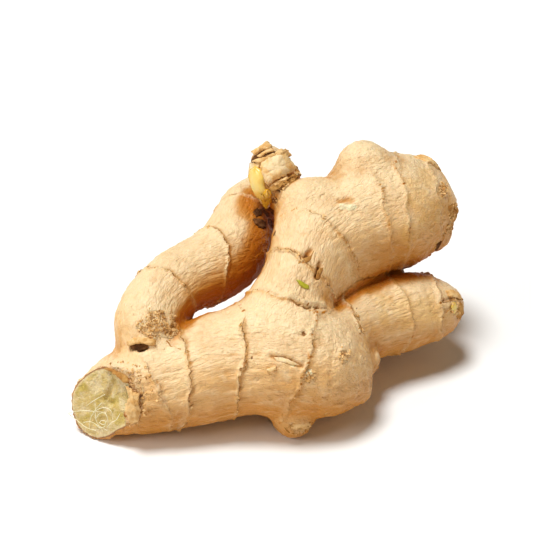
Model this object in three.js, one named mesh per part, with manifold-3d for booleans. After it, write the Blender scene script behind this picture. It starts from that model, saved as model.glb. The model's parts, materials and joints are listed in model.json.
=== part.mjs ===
// A ginger root: one grown hand of five fingers with its buds and stubs, lying on the plane z = 0.
// Millimetres, +Z up. The origin is under the middle of the root, and +X runs along its longest side.
// Each finger is a round spine of changing radius, and neighbours flow into each other at their roots.
import * as THREE from "three";
import { mergeVertices } from "three/addons/utils/BufferGeometryUtils.js";
import Module from "manifold-3d";

// Fingers, buds and stubs. spine: x, y, z, radius. blend: how wide the web is where it grows from its parent.
// rings: the scars of old leaves, each its distance along the spine and how far it is drawn towards the tip
// on the finger's +X, +Y and +Z sides.
const lobes = {
  trunk: {
    spine: [
      [-68, -48.7, 11, 10.4],
      [-57, -36.6, 11.6, 10.5],
      [-46, -31.4, 13.9, 13.7],
      [-33, -28.4, 15.9, 15.6],
      [-16, -25, 19.6, 17],
      [-5, -25.3, 21.1, 16.8],
      [5, -25, 20.6, 17.8],
      [15, -25, 19.5, 16.6],
      [20.3, -26.5, 17.8, 11.2],
      [23, -28, 16.5, 7.8],
    ],
    rings: [
      [35.7, 0, -0.24, -0.09],
      [44.4, -0.18, -0.14, 0.32],
      [62.9, -0.1, -0.18, 0.3],
      [82.7, 0.08, 0, 0.21],
    ],
  },
  rearFinger: {
    parent: "trunk",
    blend: 3.5,
    spine: [
      [-39.6, -28, 21, 11],
      [-41, -17, 32, 11.5],
      [-34.8, -6.2, 36.6, 11.3],
      [-28.5, 1.5, 37.4, 12],
      [-16.5, 13, 38, 12.9],
      [-10.8, 27, 39, 13],
      [-7.2, 41, 40, 12],
      [-4.5, 50, 43.4, 7.8],
    ],
    rings: [
      [27.9, 0.06, -0.04, 0.06],
      [48.9, -0.2, 0.2, 0.36],
      [77.2, -0.07, 0, 0],
    ],
  },
  upperFinger: {
    parent: "trunk",
    blend: 9,
    spine: [
      [0, -19, 28, 13.5],
      [7.8, -8, 38, 12.6],
      [15.5, 8, 45.5, 14],
      [27, 19, 47, 18.2],
      [40.5, 27.5, 47.8, 20.2],
      [49.3, 31.3, 48.2, 15.9],
      [54.8, 28, 42.6, 9.4],
      [60.6, 25.8, 41.4, 3.4],
    ],
    rings: [
      [10.4, 0.14, 0, -0.08],
      [22.6, -0.25, 0.1, 0],
      [41.4, 0, -0.05, -0.22],
      [63, -0.14, 0.2, 0],
      [69, -0.08, 0.2, 0.05],
      [75, -0.04, 0.12, 0],
    ],
  },
  frontFinger: {
    parent: "trunk",
    blend: 6,
    spine: [
      [12, -20, 22, 13],
      [24, -8, 21, 13.4],
      [37, 2, 20.2, 13.9],
      [48, 7, 19.8, 13.4],
      [57, 9, 19.8, 10.5],
      [62.5, 10, 19.8, 6],
    ],
    rings: [
      [15.7, -0.3, 0.3, 0.1],
      [36.2, 0.08, -0.21, 0.1],
      [51, 0, 0, 0],
    ],
  },
  hump: {
    parent: "upperFinger",
    blend: 5,
    spine: [
      [29, 26, 54, 11],
      [32.6, 30, 63.2, 10.8],
    ],
    rings: [],
  },
  shoulder: {
    parent: "upperFinger",
    blend: 6,
    spine: [
      [13.5, 11, 49, 12.5],
      [12.6, 18, 54.2, 11.6],
    ],
    rings: [],
  },
  fold: {
    parent: "upperFinger",
    blend: 6,
    spine: [
      [11, -8, 32, 9],
      [19, 2, 36, 10.2],
      [30, 14, 40.6, 11],
    ],
    rings: [],
  },
  shootStump: {
    parent: "upperFinger",
    blend: 2,
    spine: [
      [6, 22, 56, 5.5],
      [1.4, 27, 61, 7.2],
      [-1.4, 30, 66, 6.4],
      [-2.4, 31, 68.8, 4.2],
    ],
    rings: [[6, 0, 0, 0]],
  },
  foot: {
    parent: "upperFinger",
    blend: 6,
    spine: [
      [22, 14, 40, 10],
      [21.5, 23, 22, 8.8],
      [21, 26, 7.6, 8.4],
    ],
    rings: [[14, 0, 0, 0.1]],
  },
  frontStub: {
    parent: "trunk",
    blend: 4,
    spine: [
      [5.5, -28, 12, 6],
      [7, -35.8, 6, 6.8],
    ],
    rings: [],
  },
  endKnob: {
    parent: "trunk",
    blend: 4,
    spine: [
      [24, -27, 15, 7],
      [28.5, -28.5, 11.6, 4.2],
    ],
    rings: [],
  },
  sideKnob: {
    parent: "trunk",
    blend: 4,
    spine: [
      [25, -18, 17, 7],
      [31, -16.5, 16, 5.6],
    ],
    rings: [],
  },
};

const ring = { height: 0.55, halfWidth: 1.1, flare: 0.4, flareLength: 6, wander: 0.8, wanderScale: 1.7 };
const lumps = { height: 0.55, scale: 3.4 };
const cut = { point: [-57.3, -37.4, 11.2], normal: [-0.5, -0.8, 0.33], size: 60, cells: 22, relief: 0.3, ripple: 2.5 };
const crease = 0.8; // rounding where two neighbouring fingers only touch
const spineSteps = 4; // straight pieces between two points of a spine
const cell = 1.05; // size of the sampling grid
const farAway = 9; // a lobe this far off has no say in the shape here
const bendSoftness = 0.7; // how gradually a spine's straight pieces take over from each other
const triangleTarget = 8600;

// An even, wandering rise and fall between -1 and 1 that never quite repeats.
function swell(x, y, z, scale) {
  const [a, b, c] = [x / scale, y / scale, z / scale];
  const across = Math.sin(a + 1.3 * Math.sin(b + 0.7));
  const back = Math.sin(b + 1.1 * Math.sin(c + 2.1) + 1.7);
  const up = Math.sin(c + 1.2 * Math.sin(a + 0.4) + 3.9);
  return (across + back + up) / 3;
}

// Straight pieces along a lobe's smooth spine, each with its start, its direction, its radii and its place along it.
function spinePieces({ spine }) {
  const path = new THREE.CatmullRomCurve3(spine.map(([x, y, z]) => new THREE.Vector3(x, y, z)), false, "catmullrom");
  const girth = new THREE.CatmullRomCurve3(spine.map((point) => new THREE.Vector3(point[3], 0, 0)), false, "catmullrom");
  const count = (spine.length - 1) * spineSteps;
  const pieces = [];
  let along = 0;
  for (let i = 0; i < count; i++) {
    const start = path.getPoint(i / count);
    const way = path.getPoint((i + 1) / count).sub(start);
    const radius = girth.getPoint(i / count).x;
    const growth = girth.getPoint((i + 1) / count).x - radius;
    const length = way.length();
    pieces.push([start.x, start.y, start.z, way.x, way.y, way.z, length * length, radius, growth, along, length]);
    along += length;
  }
  return pieces;
}

function spineBounds({ spine }) {
  const bounds = new THREE.Box3();
  for (const [x, y, z, radius] of spine)
    bounds.union(new THREE.Box3().setFromCenterAndSize(
      new THREE.Vector3(x, y, z), new THREE.Vector3().setScalar(2 * radius + 3)));
  return bounds;
}

const names = Object.keys(lobes);
const parentOf = names.map((name) => names.indexOf(lobes[name].parent));
const shapes = names.map((name) => ({
  ...lobes[name],
  pieces: spinePieces(lobes[name]),
  found: [],
  bounds: spineBounds(lobes[name]),
}));

// How far the rings stand out at a point beside a lobe: a sharp lip, with the skin flaring towards it.
function ringRelief({ rings }, along, x, y, z, dx, dy, dz) {
  if (!rings.length) return 0;
  const drift = ring.wander * swell(x, y, z, ring.wanderScale);
  let relief = 0;
  for (const [at, leanX, leanY, leanZ] of rings) {
    const past = along + drift - leanX * dx - leanY * dy - leanZ * dz - at;
    if (past > 4 * ring.halfWidth || -past > ring.flareLength) continue;
    relief += ring.height * Math.exp(-((past / ring.halfWidth) ** 2));
    if (past < 0) relief += ring.flare * (1 + past / ring.flareLength) ** 2;
  }
  return relief;
}

// Signed distance from one lobe's skin, or a rougher one far away from it.
function lobeDistance(shape, x, y, z) {
  const { min, max } = shape.bounds;
  const away = Math.hypot(
    Math.max(min.x - x, x - max.x, 0), Math.max(min.y - y, y - max.y, 0), Math.max(min.z - z, z - max.z, 0));
  if (away > farAway) return away;
  let nearest = Infinity;
  const { pieces, found } = shape;
  for (let i = 0; i < pieces.length; i++) {
    const [sx, sy, sz, wx, wy, wz, squared, radius, growth, along, length] = pieces[i];
    const share = Math.min(1, Math.max(0, ((x - sx) * wx + (y - sy) * wy + (z - sz) * wz) / squared));
    const [dx, dy, dz] = [x - sx - share * wx, y - sy - share * wy, z - sz - share * wz];
    const distance = Math.sqrt(dx * dx + dy * dy + dz * dz) - radius - share * growth;
    found[i] = [distance, along + share * length, dx, dy, dz];
    if (distance < nearest) nearest = distance;
  }
  if (Math.abs(nearest) > 3 || !shape.rings.length) return nearest;
  // The place beside the spine, shared out between the nearest pieces so that it never jumps.
  const sums = [0, 0, 0, 0, 0];
  for (const [distance, along, dx, dy, dz] of found) {
    if (distance > nearest + 4 * bendSoftness) continue;
    const weight = Math.exp((nearest - distance) / bendSoftness);
    [weight, along * weight, dx * weight, dy * weight, dz * weight].forEach((value, i) => (sums[i] += value));
  }
  const [along, dx, dy, dz] = sums.slice(1).map((sum) => sum / sums[0]);
  return nearest - ringRelief(shape, along, x, y, z, dx, dy, dz);
}

function smoothMin(a, b, width) {
  const overlap = Math.max(width - Math.abs(a - b), 0) / width;
  return Math.min(a, b) - (overlap * overlap * width) / 4;
}

// Signed distance from the whole root: each lobe flows into its parent, and is only creased against the others.
function rootDistance(x, y, z) {
  const distances = shapes.map((shape) => lobeDistance(shape, x, y, z));
  let whole = distances[0];
  for (let i = 1; i < shapes.length; i++) {
    const joined = smoothMin(distances[i], distances[parentOf[i]], shapes[i].blend);
    whole = smoothMin(whole, joined, crease);
  }
  return whole - lumps.height * swell(x, y, z, lumps.scale);
}

// The skin as a closed triangle mesh: the grid's cells that the skin crosses are split into six tetrahedra each.
function sampleSkin() {
  const bounds = new THREE.Box3();
  for (const shape of shapes) bounds.union(shape.bounds);
  bounds.expandByScalar(3);
  const size = bounds.getSize(new THREE.Vector3()).divideScalar(cell).ceil().addScalar(1);
  const [nx, ny, nz] = size.toArray();
  const values = new Float32Array(nx * ny * nz).fill(NaN);
  const corner = (index) => [
    bounds.min.x + cell * (index % nx),
    bounds.min.y + cell * (Math.floor(index / nx) % ny),
    bounds.min.z + cell * Math.floor(index / (nx * ny)),
  ];
  const valueAt = (index) => {
    if (Number.isNaN(values[index])) values[index] = rootDistance(...corner(index));
    return values[index];
  };
  const points = [];
  const triangles = [];
  const crossings = new Map();
  const crossing = (a, b) => {
    const key = Math.min(a, b) * nx * ny * nz + Math.max(a, b);
    if (!crossings.has(key)) {
      const share = values[a] / (values[a] - values[b]);
      const [from, to] = [corner(a), corner(b)];
      crossings.set(key, points.length);
      points.push(onSkin(from.map((value, axis) => value + share * (to[axis] - value))));
    }
    return crossings.get(key);
  };
  // Corner steps of the six tetrahedra round a cell's long diagonal.
  const [right, back, up] = [1, nx, nx * ny];
  const tetrahedra = [[right, back], [back, up], [up, right]].flatMap(([first, second]) => [
    [0, first, first + second, right + back + up],
    [0, first + second, second, right + back + up],
  ]);
  const block = 6;
  for (let k = 0; k < nz - 1; k += block)
    for (let j = 0; j < ny - 1; j += block)
      for (let i = 0; i < nx - 1; i += block) {
        const middle = [i, j, k].map((n, axis) => bounds.min.getComponent(axis) + cell * (n + block / 2));
        if (Math.abs(rootDistance(...middle)) > block * cell + 1) continue;
        for (let c = k; c < Math.min(k + block, nz - 1); c++)
          for (let b = j; b < Math.min(j + block, ny - 1); b++)
            for (let a = i; a < Math.min(i + block, nx - 1); a++)
              for (const steps of tetrahedra) {
                const base = a + nx * b + nx * ny * c;
                addTetrahedron(steps.map((step) => base + step), valueAt, crossing, triangles);
              }
      }
  return { points, triangles };
}

// Adds the skin's one or two triangles inside a tetrahedron, facing out of the root.
function addTetrahedron(corners, valueAt, crossing, triangles) {
  const inside = corners.filter((index) => valueAt(index) < 0);
  const outside = corners.filter((index) => valueAt(index) >= 0);
  if (!inside.length || !outside.length) return;
  // An even reordering of the corners keeps the tetrahedron's own turning sense.
  const order = [...inside, ...outside].map((index) => corners.indexOf(index));
  let swaps = 0;
  for (let i = 0; i < 4; i++) for (let j = i + 1; j < 4; j++) if (order[i] > order[j]) swaps++;
  const faces = [];
  if (inside.length === 1) faces.push(outside.map((index) => crossing(inside[0], index)));
  if (inside.length === 3) faces.push(inside.map((index) => crossing(outside[0], index)));
  if (inside.length === 2) {
    const [[a, b], [c, d]] = [inside, outside];
    const [ac, ad, bc, bd] = [crossing(a, c), crossing(a, d), crossing(b, c), crossing(b, d)];
    faces.push([ac, bc, bd], [ac, bd, ad]);
  }
  const flip = (swaps % 2 === 1) !== (inside.length === 2);
  for (const [a, b, c] of faces)
    if (a !== b && b !== c && c !== a) triangles.push(flip ? [a, c, b] : [a, b, c]);
}

// Moves a point near the skin onto it, down the distance's slope.
function onSkin(point) {
  const reach = 0.05;
  let [x, y, z] = point;
  for (let step = 0; step < 2; step++) {
    const here = rootDistance(x, y, z);
    const slope = new THREE.Vector3(
      rootDistance(x + reach, y, z) - here,
      rootDistance(x, y + reach, z) - here,
      rootDistance(x, y, z + reach) - here,
    ).divideScalar(reach);
    const move = THREE.MathUtils.clamp(-here / Math.max(slope.lengthSq(), 0.2), -0.3, 0.3);
    [x, y, z] = [x + move * slope.x, y + move * slope.y, z + move * slope.z];
  }
  return [x, y, z];
}

// Evens out the mesh: edges that say least about the shape close up until only the wanted triangles are left.
function simplify({ points, triangles }, wanted) {
  const faces = triangles.map((face) => [...face]);
  const around = points.map(() => new Set());
  faces.forEach((face, index) => face.forEach((corner) => around[corner].add(index)));
  const planes = points.map(() => new Float64Array(10));
  const normalOf = (a, b, c) => {
    const [ux, uy, uz] = [b[0] - a[0], b[1] - a[1], b[2] - a[2]];
    const [vx, vy, vz] = [c[0] - a[0], c[1] - a[1], c[2] - a[2]];
    return [uy * vz - uz * vy, uz * vx - ux * vz, ux * vy - uy * vx];
  };
  for (const face of faces) {
    const corners = face.map((corner) => points[corner]);
    const normal = normalOf(...corners);
    const size = Math.hypot(...normal) || 1e-12;
    const [a, b, c] = normal.map((value) => value / size);
    const d = -(a * corners[0][0] + b * corners[0][1] + c * corners[0][2]);
    const terms = [a * a, a * b, a * c, a * d, b * b, b * c, b * d, c * c, c * d, d * d];
    for (const corner of face) terms.forEach((term, i) => (planes[corner][i] += (term * size) / 2));
  }
  const thinnest = 0.03;
  const plumpness = (normal, corners) => {
    const sides = corners.map((p, i) => {
      const q = corners[(i + 1) % 3];
      return (p[0] - q[0]) ** 2 + (p[1] - q[1]) ** 2 + (p[2] - q[2]) ** 2;
    });
    return Math.hypot(...normal) / Math.max(...sides, 1e-12);
  };
  const errorAt = (q, [x, y, z]) =>
    q[0] * x * x + 2 * q[1] * x * y + 2 * q[2] * x * z + 2 * q[3] * x + q[4] * y * y
    + 2 * q[5] * y * z + 2 * q[6] * y + q[7] * z * z + 2 * q[8] * z + q[9];
  // The place for the point that an edge closes up to, and how much the shape changes by it.
  const closing = (a, b) => {
    const q = planes[a].map((value, i) => value + planes[b][i]);
    const [pa, pb] = [points[a], points[b]];
    const middle = pa.map((value, i) => (value + pb[i]) / 2);
    const apart = (pa[0] - pb[0]) ** 2 + (pa[1] - pb[1]) ** 2 + (pa[2] - pb[2]) ** 2;
    // A weak pull towards the middle keeps flat areas evenly divided.
    const pull = 1e-3 * (q[0] + q[4] + q[7]);
    const [m0, m1, m2, m4, m5, m7] = [q[0] + pull, q[1], q[2], q[4] + pull, q[5], q[7] + pull];
    const right = [pull * middle[0] - q[3], pull * middle[1] - q[6], pull * middle[2] - q[8]];
    const [c0, c1, c2] = [m4 * m7 - m5 * m5, m2 * m5 - m1 * m7, m1 * m5 - m2 * m4];
    const size = m0 * c0 + m1 * c1 + m2 * c2;
    let place = middle;
    if (Math.abs(size) > 1e-9) {
      const [c4, c5, c7] = [m0 * m7 - m2 * m2, m1 * m2 - m0 * m5, m0 * m4 - m1 * m1];
      place = [
        (c0 * right[0] + c1 * right[1] + c2 * right[2]) / size,
        (c1 * right[0] + c4 * right[1] + c5 * right[2]) / size,
        (c2 * right[0] + c5 * right[1] + c7 * right[2]) / size,
      ];
      const moved = place.reduce((sum, value, i) => sum + (value - middle[i]) ** 2, 0);
      if (moved > apart) place = middle;
    }
    return { cost: errorAt(q, place) + 2e-4 * apart * apart, place };
  };
  const neighbours = (a) => {
    const found = new Set();
    for (const face of around[a]) for (const corner of faces[face]) if (corner !== a) found.add(corner);
    return found;
  };
  const ages = new Int32Array(points.length);
  const queue = [];
  const push = (a, b) => {
    const { cost, place } = closing(a, b);
    const entry = { cost, a, b, place, age: ages[a] + ages[b] };
    let at = queue.length;
    while (at > 0) {
      const above = (at - 1) >> 1;
      if (queue[above].cost <= cost) break;
      queue[at] = queue[above];
      at = above;
    }
    queue[at] = entry;
  };
  const pop = () => {
    const first = queue[0];
    const last = queue.pop();
    let at = 0;
    while (queue.length && 2 * at + 1 < queue.length) {
      let below = 2 * at + 1;
      if (below + 1 < queue.length && queue[below + 1].cost < queue[below].cost) below++;
      if (queue[below].cost >= last.cost) break;
      queue[at] = queue[below];
      at = below;
    }
    if (queue.length) queue[at] = last;
    return first;
  };
  // Closing an edge must neither pinch the skin nor fold a triangle over.
  const mayClose = (a, b, place) => {
    const nearB = neighbours(b);
    let shared = 0;
    for (const corner of neighbours(a)) if (nearB.has(corner)) shared++;
    if (shared !== 2) return false;
    for (const [from, other] of [[a, b], [b, a]])
      for (const index of around[from]) {
        const face = faces[index];
        if (face.includes(other)) continue;
        const corners = face.map((corner) => points[corner]);
        const moved = face.map((corner) => (corner === from ? place : points[corner]));
        const [before, after] = [normalOf(...corners), normalOf(...moved)];
        const [widthBefore, widthAfter] = [plumpness(before, corners), plumpness(after, moved)];
        if (widthAfter < thinnest && widthAfter < widthBefore) return false;
        const turned = before[0] * after[0] + before[1] * after[1] + before[2] * after[2];
        if (widthBefore > thinnest && turned < 0.2 * Math.hypot(...before) * Math.hypot(...after)) return false;
      }
    return true;
  };
  const close = (a, b, place) => {
    for (const index of [...around[b]]) {
      const face = faces[index];
      if (face.includes(a)) {
        for (const corner of face) around[corner].delete(index);
        faces[index] = null;
        left--;
      } else {
        face[face.indexOf(b)] = a;
        around[a].add(index);
      }
    }
    around[b].clear();
    points[a] = place;
    planes[b].forEach((value, i) => (planes[a][i] += value));
    ages[a]++;
    for (const corner of neighbours(a)) push(a, corner);
  };
  let left = faces.length;
  for (let before = Infinity; left > wanted && left < before; ) {
    before = left;
    for (const face of faces.filter(Boolean))
      face.forEach((corner, i) => {
        if (corner < face[(i + 1) % 3]) push(corner, face[(i + 1) % 3]);
      });
    while (left > wanted && queue.length) {
      const { a, b, place, age } = pop();
      if (!around[a].size || !around[b].size || ages[a] + ages[b] !== age) continue;
      const spot = [place, points[a], points[b]].find((option) => mayClose(a, b, option));
      if (spot) close(a, b, spot);
    }
  }
  return { points, triangles: faces.filter(Boolean) };
}

const wasm = await Module();
wasm.setup();

// A closed mesh as a solid for cutting.
function solidOf(positions, corners) {
  return new wasm.Manifold(new wasm.Mesh({
    numProp: 3,
    vertProperties: Float32Array.from(positions),
    triVerts: Uint32Array.from(corners),
  }));
}

function solidOfGeometry(geometry) {
  geometry.deleteAttribute("normal");
  geometry.deleteAttribute("uv");
  const merged = mergeVertices(geometry, 1e-4);
  return solidOf(merged.attributes.position.array, merged.index.array);
}

// What the knife took off the broad end: all beyond a slightly rippled face.
function takenOff() {
  const depth = 40;
  const block = new THREE.BoxGeometry(cut.size, cut.size, depth, cut.cells, cut.cells, 1);
  const position = block.attributes.position;
  for (let i = 0; i < position.count; i++) {
    const [x, y] = [position.getX(i), position.getY(i)];
    if (position.getZ(i) > 0) continue;
    position.setZ(i, position.getZ(i) + cut.relief * swell(x, y, 0, cut.ripple));
  }
  block.translate(0, 0, depth / 2);
  const facing = new THREE.Vector3(...cut.normal).normalize();
  block.applyQuaternion(new THREE.Quaternion().setFromUnitVectors(new THREE.Vector3(0, 0, 1), facing));
  block.translate(...cut.point);
  return solidOfGeometry(block);
}

// All below the surface it lies on, which leaves the small flat spots that it rests on.
function underSurface() {
  return solidOfGeometry(new THREE.BoxGeometry(300, 300, 20).translate(0, 0, -10));
}

function gingerRoot() {
  const { points, triangles } = simplify(sampleSkin(), triangleTarget);
  const kept = new Map();
  for (const corner of triangles.flat()) if (!kept.has(corner)) kept.set(corner, kept.size);
  const grown = solidOf([...kept.keys()].flatMap((corner) => points[corner]), triangles.flat().map((c) => kept.get(c)));
  const { vertProperties, triVerts } = grown.subtract(takenOff()).subtract(underSurface()).getMesh();
  const geometry = new THREE.BufferGeometry();
  geometry.setAttribute("position", new THREE.BufferAttribute(vertProperties, 3));
  geometry.setIndex(new THREE.BufferAttribute(triVerts, 1));
  geometry.computeVertexNormals();
  const skin = new THREE.MeshStandardMaterial({ color: 0xd9b078, roughness: 0.6, metalness: 0 });
  const mesh = new THREE.Mesh(geometry, skin);
  mesh.name = "ginger_root";
  return mesh;
}

// Puts the origin under the middle of the root.
function centred(mesh) {
  mesh.geometry.computeBoundingBox();
  const middle = mesh.geometry.boundingBox.getCenter(new THREE.Vector3());
  mesh.geometry.translate(-middle.x, -middle.y, 0);
  return mesh;
}

const root = new THREE.Group();
root.name = "ginger";
root.add(centred(gingerRoot()));

export default root;
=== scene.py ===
# A fresh hand of ginger lying on a pale surface, seen a little from above.
# Lengths in the dictionaries are millimetres; the meshes are in metres.
import json
import math

import bmesh
import bpy
import numpy as np
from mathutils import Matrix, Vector

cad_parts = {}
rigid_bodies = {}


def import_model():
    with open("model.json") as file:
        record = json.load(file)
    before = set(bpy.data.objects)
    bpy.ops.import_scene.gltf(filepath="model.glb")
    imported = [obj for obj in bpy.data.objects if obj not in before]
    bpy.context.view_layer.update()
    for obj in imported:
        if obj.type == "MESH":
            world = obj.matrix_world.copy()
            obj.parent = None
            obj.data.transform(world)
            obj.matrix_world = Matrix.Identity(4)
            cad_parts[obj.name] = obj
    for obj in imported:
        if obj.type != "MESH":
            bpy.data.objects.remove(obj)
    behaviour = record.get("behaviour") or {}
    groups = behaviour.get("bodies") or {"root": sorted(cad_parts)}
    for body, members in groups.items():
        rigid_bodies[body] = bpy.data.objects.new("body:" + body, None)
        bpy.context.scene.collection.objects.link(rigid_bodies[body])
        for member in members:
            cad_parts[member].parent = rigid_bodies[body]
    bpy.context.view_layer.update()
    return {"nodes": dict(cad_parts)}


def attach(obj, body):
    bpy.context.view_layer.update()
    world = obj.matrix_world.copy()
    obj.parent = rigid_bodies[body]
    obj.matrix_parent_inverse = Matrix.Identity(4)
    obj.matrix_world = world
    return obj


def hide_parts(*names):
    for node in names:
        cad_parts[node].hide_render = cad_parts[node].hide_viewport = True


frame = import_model()
chance = np.random.default_rng(11)
print("frame loaded")

# Camera

# The photograph's view: degrees above the surface, and millimetres
camera = {
    "elevation": 32, "target": (-2.644, 61.982, 0), "distance": 515,
    "lens": 86.3, "sensor": 36, "pixels": 533,
}


def makeCamera():
    lens = bpy.data.cameras.new("camera")
    lens.lens = camera["lens"]
    lens.sensor_width = camera["sensor"]
    lens.clip_start = 0.01
    eye = bpy.data.objects.new("camera", lens)
    bpy.context.scene.collection.objects.link(eye)
    tilt = math.radians(camera["elevation"])
    forward = Vector((0, math.cos(tilt), -math.sin(tilt)))
    eye.location = Vector(camera["target"]) / 1000 - forward * camera["distance"] / 1000
    eye.rotation_euler = forward.to_track_quat("-Z", "Y").to_euler()
    bpy.context.scene.camera = eye
    return eye


# The growing shape, in the source's own millimetres: fingers, rings and lumps

middle = np.array([0.6441, 6.0179, 0.0])  # the source centres the root by this much
growth = {
    "trunk": {
        "spine": [
            (-68, -48.7, 11, 10.4), (-57, -36.6, 11.6, 10.5), (-46, -31.4, 13.9, 13.7),
            (-33, -28.4, 15.9, 15.6), (-16, -25, 19.6, 17), (-5, -25.3, 21.1, 16.8),
            (5, -25, 20.6, 17.8), (15, -25, 19.5, 16.6), (20.3, -26.5, 17.8, 11.2),
            (23, -28, 16.5, 7.8),
        ],
        "rings": [
            (35.7, 0, -0.24, -0.09), (44.4, -0.18, -0.14, 0.32), (62.9, -0.1, -0.18, 0.3),
            (82.7, 0.08, 0, 0.21),
        ],
    },
    "rearFinger": {
        "parent": "trunk", "blend": 3.5,
        "spine": [
            (-39.6, -28, 21, 11), (-41, -17, 32, 11.5), (-34.8, -6.2, 36.6, 11.3),
            (-28.5, 1.5, 37.4, 12), (-16.5, 13, 38, 12.9), (-10.8, 27, 39, 13), (-7.2, 41, 40, 12),
            (-4.5, 50, 43.4, 7.8),
        ],
        "rings": [
            (27.9, 0.06, -0.04, 0.06), (48.9, -0.2, 0.2, 0.36), (77.2, -0.07, 0, 0),
        ],
    },
    "upperFinger": {
        "parent": "trunk", "blend": 9,
        "spine": [
            (0, -19, 28, 13.5), (7.8, -8, 38, 12.6), (15.5, 8, 45.5, 14), (27, 19, 47, 18.2),
            (40.5, 27.5, 47.8, 20.2), (49.3, 31.3, 48.2, 15.9), (54.8, 28, 42.6, 9.4),
            (60.6, 25.8, 41.4, 3.4),
        ],
        "rings": [
            (10.4, 0.14, 0, -0.08), (22.6, -0.25, 0.1, 0), (41.4, 0, -0.05, -0.22),
            (63, -0.14, 0.2, 0), (69, -0.08, 0.2, 0.05), (75, -0.04, 0.12, 0),
        ],
    },
    "frontFinger": {
        "parent": "trunk", "blend": 6,
        "spine": [
            (12, -20, 22, 13), (24, -8, 21, 13.4), (37, 2, 20.2, 13.9), (48, 7, 19.8, 13.4),
            (57, 9, 19.8, 10.5), (62.5, 10, 19.8, 6),
        ],
        "rings": [
            (15.7, -0.3, 0.3, 0.1), (36.2, 0.08, -0.21, 0.1), (51, 0, 0, 0),
        ],
    },
    "hump": {
        "parent": "upperFinger", "blend": 5,
        "spine": [
            (29, 26, 54, 11), (32.6, 30, 63.2, 10.8),
        ],
        "rings": [],
    },
    "shoulder": {
        "parent": "upperFinger", "blend": 6,
        "spine": [
            (13.5, 11, 49, 12.5), (12.6, 18, 54.2, 11.6),
        ],
        "rings": [],
    },
    "fold": {
        "parent": "upperFinger", "blend": 6,
        "spine": [
            (11, -8, 32, 9), (19, 2, 36, 10.2), (30, 14, 40.6, 11),
        ],
        "rings": [],
    },
    "shootStump": {
        "parent": "upperFinger", "blend": 2,
        "spine": [
            (6, 22, 56, 5.5), (1.4, 27, 61, 7.2), (-1.4, 30, 66, 6.4), (-2.4, 31, 68.8, 4.2),
        ],
        "rings": [
            (6, 0, 0, 0),
        ],
    },
    "foot": {
        "parent": "upperFinger", "blend": 6,
        "spine": [
            (22, 14, 40, 10), (21.5, 23, 22, 8.8), (21, 26, 7.6, 8.4),
        ],
        "rings": [
            (14, 0, 0, 0.1),
        ],
    },
    "frontStub": {
        "parent": "trunk", "blend": 4,
        "spine": [
            (5.5, -28, 12, 6), (7, -35.8, 6, 6.8),
        ],
        "rings": [],
    },
    "endKnob": {
        "parent": "trunk", "blend": 4,
        "spine": [
            (24, -27, 15, 7), (28.5, -28.5, 11.6, 4.2),
        ],
        "rings": [],
    },
    "sideKnob": {
        "parent": "trunk", "blend": 4,
        "spine": [
            (25, -18, 17, 7), (31, -16.5, 16, 5.6),
        ],
        "rings": [],
    },
}
skinForm = {
    "ringHeight": 0.45, "ringHalfWidth": 0.6, "flare": 0.4, "flareLength": 6, "wander": 0.8, "wanderScale": 1.7,
    "lumpHeight": 0.55, "lumpScale": 3.4, "crease": 0.8, "farAway": 9, "bendSoftness": 0.7,
}
knife = {"point": (-57.3, -37.4, 11.2), "facing": (-0.5, -0.8, 0.33)}


def swell(points, scale):
    a, b, c = (points / scale).T
    across = np.sin(a + 1.3 * np.sin(b + 0.7))
    back = np.sin(b + 1.1 * np.sin(c + 2.1) + 1.7)
    up = np.sin(c + 1.2 * np.sin(a + 0.4) + 3.9)
    return (across + back + up) / 3


def spinePieces(spine, steps=4):
    points = np.array(spine, float)
    padded = np.vstack([2 * points[0] - points[1], points, 2 * points[-1] - points[-2]])
    samples = []
    for before, start, end, after in zip(padded, padded[1:], padded[2:], padded[3:]):
        slopeStart, slopeEnd = (end - before) / 2, (after - start) / 2
        for w in np.arange(steps) / steps:
            square = -3 * start + 3 * end - 2 * slopeStart - slopeEnd
            cube = 2 * start - 2 * end + slopeStart + slopeEnd
            samples.append(start + slopeStart * w + square * w**2 + cube * w**3)
    samples = np.array([*samples, points[-1]])
    ways = np.diff(samples, axis=0)
    lengths = np.linalg.norm(ways[:, :3], axis=1)
    return {
        "starts": samples[:-1, :3], "ways": ways[:, :3], "radii": samples[:-1, 3], "growths": ways[:, 3],
        "lengths": lengths, "alongs": np.concatenate([[0], np.cumsum(lengths)[:-1]]), "whole": lengths.sum(),
        "low": (points[:, :3] - points[:, 3:]).min(0) - 1.5,
        "high": (points[:, :3] + points[:, 3:]).max(0) + 1.5,
    }


for lobe in growth.values():
    lobe["pieces"] = spinePieces(lobe["spine"])


# Distance from one finger's plain skin, with the place beside its spine: along it, and off to the side.
def besideFinger(lobe, points):
    pieces = lobe["pieces"]
    away = np.linalg.norm(np.maximum(np.maximum(pieces["low"] - points, points - pieces["high"]), 0), axis=1)
    distance, along, offset = away.copy(), np.zeros(len(points)), np.zeros((len(points), 3))
    near = np.flatnonzero(away <= skinForm["farAway"])
    for chunk in np.array_split(near, max(1, len(near) // 20000)):
        if not len(chunk):
            continue
        gap = points[chunk, None, :] - pieces["starts"][None]
        share = (gap * pieces["ways"]).sum(2) / pieces["lengths"] ** 2
        share = np.clip(share, 0, 1)
        gap = gap - share[..., None] * pieces["ways"]
        each = np.linalg.norm(gap, axis=2) - pieces["radii"] - share * pieces["growths"]
        nearest = each.min(1)
        weight = np.exp(np.clip((nearest[:, None] - each) / skinForm["bendSoftness"], -30, 0))
        weight[each > nearest[:, None] + 4 * skinForm["bendSoftness"]] = 0
        weight /= weight.sum(1, keepdims=True)
        distance[chunk] = nearest
        along[chunk] = (weight * (pieces["alongs"] + share * pieces["lengths"])).sum(1)
        offset[chunk] = (weight[..., None] * gap).sum(1)
    return distance, along, offset


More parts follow.
